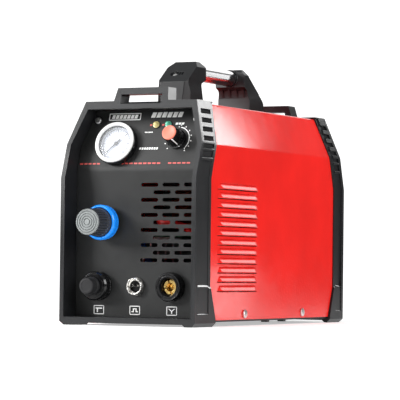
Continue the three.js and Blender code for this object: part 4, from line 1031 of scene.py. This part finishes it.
def gauge():
    place = front_upper(*GAUGE)
    case = [(0, -24), (17.5, -24), (19, -22.5), (19, 0.3), (22.8, 0.3), (22.8, 7), (22.3, 7.5),
            (18.5, 7.5), (18.5, 2.5), (0, 2.5)]
    settle(turned("gauge_can", case, place, "knob_black", 96), "gauge_case")
    rim = [(18.1, 7.8), (22, 7.8), (22, 8.8), (21.4, 9.6), (20.6, 9.9), (19.2, 10), (18.4, 9.2)]
    settle(turned("gauge_bezel_ring", rim, place, "white_plastic", 96, 0.15), "gauge_rim")
    dial = [(1.6, 2.8), (18.1, 2.8), (18.1, 3.4), (17.7, 3.6), (17.0, 3.6), (16.7, 3.4), (16.4, 3.6),
            (1.6, 3.6)]
    face = turned("gauge_face", dial, place, "dial_white", 96, 0.05, 1)
    settle(face, "gauge_dial", slot="white_plastic")
    marks = []
    for tick in range(DIAL_TICKS):
        turn = DIAL_START - DIAL_SWEEP * tick / (DIAL_TICKS - 1)
        inner, width = (12.2, 0.55) if tick % LONG_TICK == 0 else (13.6, 0.3)
        marks.append(spoke(turn, inner, 15.4, width))
    ink = (DIAL_TOP + 0.02, DIAL_TOP + 0.12)
    bars("gauge_ticks", marks, place, "needle_black", "needle_black", *ink)
    sweep = [band(15.5, 15.9, DIAL_START - DIAL_SWEEP, DIAL_START, 60)]
    bars("gauge_arc", sweep, place, "needle_black", "needle_black", *ink)
    glass = [(0, 7), (17.8, 7), (17.8, 7.6), (15, 8.0), (8, 8.2), (0, 8.2)]
    settle(turned("gauge_window", glass, place, "clear_glass", 96, 0.1), "gauge_glass")
    bm = bmesh.new()
    hub = [(0, 4.2), (2, 4.2), (2, 5.2), (1.6, 5.8), (0, 5.9)]
    lathe(bm, hub, place, 32)
    blade = [(-6, -0.9), (0, -0.8), (14.5, -0.18), (14.5, 0.18), (0, 0.8), (-6, 0.9)]
    plate(bm, blade, place @ Matrix.Rotation(math.radians(DIAL_START), 4, "Z"), 4.6, 5.1)
    needle = finish_mesh("gauge_pointer", bm, "needle_black")
    settle(bevelled(needle, 0.06, 1), "gauge_needle", body="gauge_needle")


gauge()

# ---- lamps and current knob


def lamps():
    profile = [(0, -9), (2.5, -9), (2.5, 0.3), (3.5, 0.3), (3.5, 1.2), (3.2, 1.5), (2.6, 1.6), (2.5, 3),
               (2.2, 3.9), (1.6, 4.6), (0.8, 4.95), (0, 5)]
    collar = [(3.55, 0.05), (4.0, 0.05), (4.0, 0.6), (3.8, 0.9), (3.55, 0.9)]
    for node, x in LAMPS.items():
        material = "amber_lens" if node == "lamp_fault" else "green_lens"
        place = front_upper(x, LAMP_HEIGHT)
        settle(turned(f"{node}_lens", profile, place, material, 40, 0.1), node)
        settle(turned(f"{node}_collar", collar, place, "knob_black", 40, 0.08, 1))


POINTER_TURN = -60


def current_knob():
    place = front_upper(*AMP)
    body = [(5, 1), (10.2, 1), (10.5, 1.5), (10.5, 2.7), (9.7, 3.4, 1), (9.0, 5, 1), (8.5, 12, 1),
            (8.3, 17.8, 1), (7.9, 18.8), (3.2, 18.8), (3.2, 6), (5, 6)]
    settle(turned("amp_dial", body, place, "knob_black", 96, 0.1, 1, ribs=24, depth=0.55, share=0.6),
           "amp_knob", body="amp_knob")
    cap = [(0, 18.9), (7.7, 18.9), (7.8, 19.4), (7.5, 20.1), (6.8, 20.4), (6.2, 20.4), (5.9, 20.25),
           (0, 20.25)]
    settle(turned("amp_dial_cap", cap, place, "orange_plastic", 64, 0.08, 1), "amp_knob_cap",
           body="amp_knob")
    pointer = [spoke(POINTER_TURN, 8.2, 8.85, 1.0)]
    bars("amp_pointer_side", pointer, place, "print_white", "white_plastic", 5.2, 19.2, "amp_knob")
    foot = [spoke(POINTER_TURN, 8.6, 10.4, 1.0)]
    bars("amp_pointer_foot", foot, place, "print_white", "white_plastic", 2.75, 3.6, "amp_knob")
    moulding("amp_potentiometer", "amp_pot", "aluminium", 0.2)


lamps()
current_knob()

# ---- air regulator

CAP_GROOVES = 4


def regulator():
    place = front_lower(*REGULATOR)
    nut = [(10.4, 0.3), (14, 0.3), (14, 5.2), (12.8, 6.4), (10.4, 6.4)]
    settle(turned("regulator_panel_nut", nut, place, "knob_black", 96, 0.2), "regulator_nut")
    ring = [(10.8, 6.7), (17.4, 6.7), (17.8, 7.2), (17.8, 9.2, 1), (17.8, 12.2, 1), (18, 13.4), (18, 14.6),
            (17.6, 15.6), (16.8, 16.8), (16.2, 17.2), (15.4, 17.2), (15.2, 16.9), (15.2, 8.6), (10.8, 8.6)]
    settle(turned("regulator_marking_ring", ring, place, "blue_plastic", 144, 0.15,
                  ribs=24, depth=0.7, share=0.55), "regulator_ring")
    knob = [(12.4, 9), (14.7, 9), (14.6, 17), (14.3, 20.4), (14.1, 21.2, 1), (13.6, 38.4, 1), (13.5, 39),
            (13.4, 39.4), (13.4, 40), (4.4, 40), (4.4, 13), (12.4, 13)]
    settle(turned("regulator_grip", knob, place, "grey_plastic", 180, 0.15, 1,
                  ribs=30, depth=1.1, share=0.6), "regulator_knob", body="regulator_knob")
    cap = [(0, 38.6), (12.6, 38.6), (13.3, 39.4, 1), (13.3, 41.0, 1), (12.6, 41.9, 1)]
    for groove in range(CAP_GROOVES):
        outer = 11.4 - 2.5 * groove
        inner = outer - 1.1
        cap += [(outer, 41.9), (outer - 0.1, 41.0), (inner, 41.0), (inner - 0.1, 41.9)]
    cap.append((0, 41.9))
    settle(turned("regulator_cap", cap, place, "cap_grey", 144, 0.04, 1, ribs=48, depth=0.55),
           body="regulator_knob", slot="grey_plastic")
    moulding("regulator_body", "regulator_valve", "aluminium", 0.8)
    moulding("regulator_spindle", "regulator_stem", "brass", 0.15, "regulator_spindle")


regulator()

# ---- sockets


def torch_socket():
    place = front_lower(*TORCH)
    body = [(0, -24), (8, -24), (8, -8), (10.6, -8), (10.6, 0.3), (15, 0.3), (15, 2.2), (14.6, 2.6, 1),
            (14.6, 9.6, 1), (15, 10.2), (14.9, 11), (13.4, 13), (12.2, 13), (12.2, 15),
            (7.4, 15), (7.4, 22), (0, 22)]
    settle(turned("torch_socket", body, place, "knob_black", 120, 0.2, ribs=30, depth=0.35, share=0.55),
           "torch_connector")
    cap = [(0, 22.4), (7.8, 22.4), (7.8, 15.4), (9.4, 15.4), (9.4, 17.8), (9.1, 18.5), (8.5, 19), (8.3, 22),
           (8.1, 27.2), (7.8, 27.8), (7.2, 28), (5.6, 28), (5.3, 27.8), (0, 27.8)]
    settle(turned("torch_cap", cap, place, "rubber", 72, 0.12), "torch_dust_cap", body="torch_dust_cap")


def control_socket():
    place = front_lower(*CONTROL)
    shell = [(6.2, -9), (7, -9), (7, 0.3), (9.6, 0.3), (9.6, 0.7, 1), (9.6, 2.6, 1), (9.2, 3.2),
             (8.6, 4), (8.6, 5.1), (8.3, 5.4), (7.5, 5.4), (7.2, 5.1), (7, 2.5), (6.2, 2.5)]
    settle(turned("control_shell", shell, place, "nickel", 120, 0.1, ribs=40, depth=0.25),
           "control_socket_shell")
    moulding("control_socket_insert", "control_insert", "knob_black", 0.15)
    pin = [(0, -0.6), (1.1, -0.6), (1.1, 2.2), (1.0, 2.6), (0.75, 2.95), (0.4, 3.15), (0, 3.2)]
    bm = bmesh.new()
    for side in (-1, 1):
        lathe(bm, pin, place @ Matrix.Translation(mm(side * 2.6, 0.8, 0)), 24)
    settle(finish_mesh("control_pins", bm, "nickel"))


def work_socket():
    place = front_lower(*WORK)
    body = [(8.2, -22), (11.6, -22), (11.6, 0.3), (15, 0.3), (15, 7.6), (14.6, 8.6), (13.6, 10),
            (13.1, 10), (12.8, 9.6), (11.2, 9.6), (10.9, 10), (9.9, 10), (9.4, 9.4), (8.2, 7.5)]
    settle(turned("work_socket_collar", body, place, "knob_black", 96, 0.15), "work_socket_body")
    bm = bmesh.new()
    bore, outside, split = 4.4, 7.2, 1.2
    lathe(bm, [(bore, -30), (outside, -30), (outside, split), (bore, split)], place)
    for quarter in range(4):
        start = 90 * quarter + 20
        plate(bm, band(bore, outside, start, start + 76), place, split, 4.6)
    settle(bevelled(finish_mesh("work_socket_sleeve", bm, "brass"), 0.3), "work_socket_contact")
    lug = [(0, -9), (4.2, -9), (4.2, -3.4), (3.6, -2.8), (1.9, -2.8), (1.6, -3.2), (1.6, -5), (0, -5)]
    settle(turned("work_socket_lug", lug, place, "brass", 48, 0.2))


torch_socket()
control_socket()
work_socket()

# ---- rear services

moulding("fan_housing", "fan_frame", "rubber", 0.5)
moulding("fan_rotor", "fan_blades", "rubber", 0.3, "fan_rotor")


def rear_fittings():
    gland = rear_lower(*GLAND)
    profile = [(5, -12), (8, -12), (8, 0.3), (11.5, 0.3), (11.5, 4.6), (11.1, 5), (10, 5.6),
               (10, 6, 1), (10, 14, 1), (9.4, 15), (7.6, 18.4), (6.8, 19), (5.4, 19), (5, 18.6)]
    settle(turned("gland_nut", profile, gland, "rubber", 96, 0.15, ribs=16, depth=0.5, share=0.6),
           "cable_gland")
    moulding("air_inlet", "air_plug", "brass", 0.2)
    moulding("earth_stud", "earth_terminal", "zinc", 0.25)
    moulding("switch_frame", "switch_surround", "knob_black", 0.4)
    moulding("switch_rocker", "switch_paddle", "red_plastic", 0.5, "switch_rocker")


rear_fittings()

# ---- inside

moulding("heat_sink_left", "heatsink_left", "aluminium", 0.2)
moulding("heat_sink_right", "heatsink_right", "aluminium", 0.2)
moulding("main_board", "inverter_board", "circuit_board", 0.15)
moulding("capacitor_1", "bulk_capacitor_1", "capacitor_sleeve", 1.2, segments=3)
moulding("capacitor_2", "bulk_capacitor_2", "capacitor_sleeve", 1.2, segments=3)
moulding("transformer_core", "main_core", "ferrite", 0.6)
moulding("transformer_winding", "main_winding", "copper", 1.5, segments=3)
moulding("output_choke", "choke_winding", "copper", 1.2, segments=3)
moulding("pilot_arc_board", "pilot_board", "circuit_board", 0.15)
moulding("solenoid_valve", "air_valve", "brass", 0.5)


def hose(node, name, material):
    """The CAD hose, rounded."""
    piece = finish_mesh(name, cad_mesh(node), material, math.radians(70))
    rounder = piece.modifiers.new("round", "SUBSURF")
    rounder.levels = 2
    rounder.render_levels = 2
    settle(piece, node)


hose("air_supply_hose", "hose_supply", "blue_hose")
hose("torch_hose", "hose_torch", "blue_hose")
hose("work_lead", "lead_work", "red_plastic")

# ---- printing on the panel

INK = (0.0, 0.12)
NAME_PLATE = (-26.8, 214.7)
MODEL_BAR = (22, 216)
GAUGE_LABEL = (6.5, 181)
KNOB_LABEL = (38, 206.5)
LAMP_LABEL = (3.8, 198)
LAMP_DOT = rectangle(-1.2, 1.2, -0.9, 0.9)
LAMP_DOT_STEP = 6.3
KNOB_DOTS = 11
KNOB_TICKS = 7
RED_LINE = 165.7
SIGN_HEIGHT = 15.7


def frame_outline(x0, x1, y0, y1, line):
    """A frame drawn as four overlapping bars with round ends."""
    sides = [(x0, x1, y1 - line, y1), (x0, x1, y0, y0 + line),
             (x0, x0 + line, y0, y1), (x1 - line, x1, y0, y1)]
    return [rounded(*side, line / 2 - ROUND_END / 2, 3) for side in sides]


def stripes(x0, x1, y0, y1, count, gap, slant=0):
    """A row of plain blocks, leaning to the right by slant."""
    width = (x1 - x0 - gap * (count - 1)) / count
    blocks = []
    for k in range(count):
        left = x0 + k * (width + gap)
        blocks.append([(left, y0), (left + width, y0), (left + width + slant, y1), (left + slant, y1)])
    return blocks


TORCH_SIGN = [(-3.8, 2.2), (3.8, 2.2), (3.8, 1), (-1, 1), (-1, -2.6), (-2.4, -2.6), (-2.4, 1), (-3.8, 1)]
CONTROL_SIGN = [(-3.8, -1.8), (-1, -1.8), (-1, 1), (1, 1), (1, -1.8), (3.8, -1.8),
                (3.8, -0.9), (2.1, -0.9), (2.1, 2), (-2.1, 2), (-2.1, -0.9), (-3.8, -0.9)]
WORK_SIGN = [(-3.8, 2.2), (-2.6, 2.2), (0, 0.2), (2.6, 2.2), (3.8, 2.2), (0.6, -0.6),
             (0.6, -2.8), (-0.6, -2.8), (-0.6, -0.6)]


def printing():
    white, red = [], []
    upper = front_upper(0, BEND)

    def on_upper(shapes, x, z):
        """Shapes about a station on the leaning face, moved into one frame."""
        rise = (z - BEND) / math.cos(RAKE)
        return [[(x + right, rise + up) for right, up in shape] for shape in shapes]

    white += on_upper(frame_outline(-18.5, 18.5, -3.9, 3.9, 0.9), *NAME_PLATE)
    white += on_upper(stripes(-15.2, 14.4, -2.1, 2.1, 7, 1.1, 0.8), *NAME_PLATE)
    white += on_upper(stripes(-18.5, 17, -2.9, 2.9, 6, 1.4, 1.6), *MODEL_BAR)
    white += on_upper(stripes(-10.5, 10.5, -1.1, 1.1, 8, 1.1, 0.5), *GAUGE_LABEL)
    white += on_upper(stripes(-4.8, 4.8, -1.1, 1.1, 3, 0.9, 0.5), *KNOB_LABEL)
    white += on_upper(stripes(-4.4, 4.4, -0.6, 0.6, 6, 0.6), *LAMP_LABEL)
    dots = [DIAL_START - DIAL_SWEEP * k / (KNOB_DOTS - 1) for k in range(KNOB_DOTS)]
    white += on_upper([spoke(turn, 13.3, 14.3, 1.0) for turn in dots], *AMP)
    white += on_upper([band(13.1, 13.9, -40, 80, 20)], *AMP)
    white += on_upper([spoke(22 * k - 50, 15.2, 16.4, 1.2) for k in range(KNOB_TICKS)], *AMP)
    for start, end, count in ((-70, -47, 5), (-23, 23, 9), (32, 57, 5)):
        red += on_upper(stripes(start, end, -0.8, 0.8, count, 1.5), 0, RED_LINE)
    for x in LAMPS.values():
        red += on_upper([LAMP_DOT], x - LAMP_DOT_STEP, LAMP_HEIGHT)
    bars("print_upper_white", white, upper, "print_white", "white_plastic", *INK)
    bars("print_upper_red", red, upper, "print_red", "red_plastic", *INK)
    signs = []
    for x, sign in ((TORCH[0], TORCH_SIGN), (CONTROL[0] - 1.2, CONTROL_SIGN), (WORK[0], WORK_SIGN)):
        signs += [[(x + right, SIGN_HEIGHT + up) for right, up in shape]
                  for shape in frame_outline(-6, 6, -4.6, 4.6, 0.8) + [sign]]
    bars("print_signs", signs, front_lower(0, 0), "print_white", "white_plastic", *INK)


printing()

make_piece_lights()
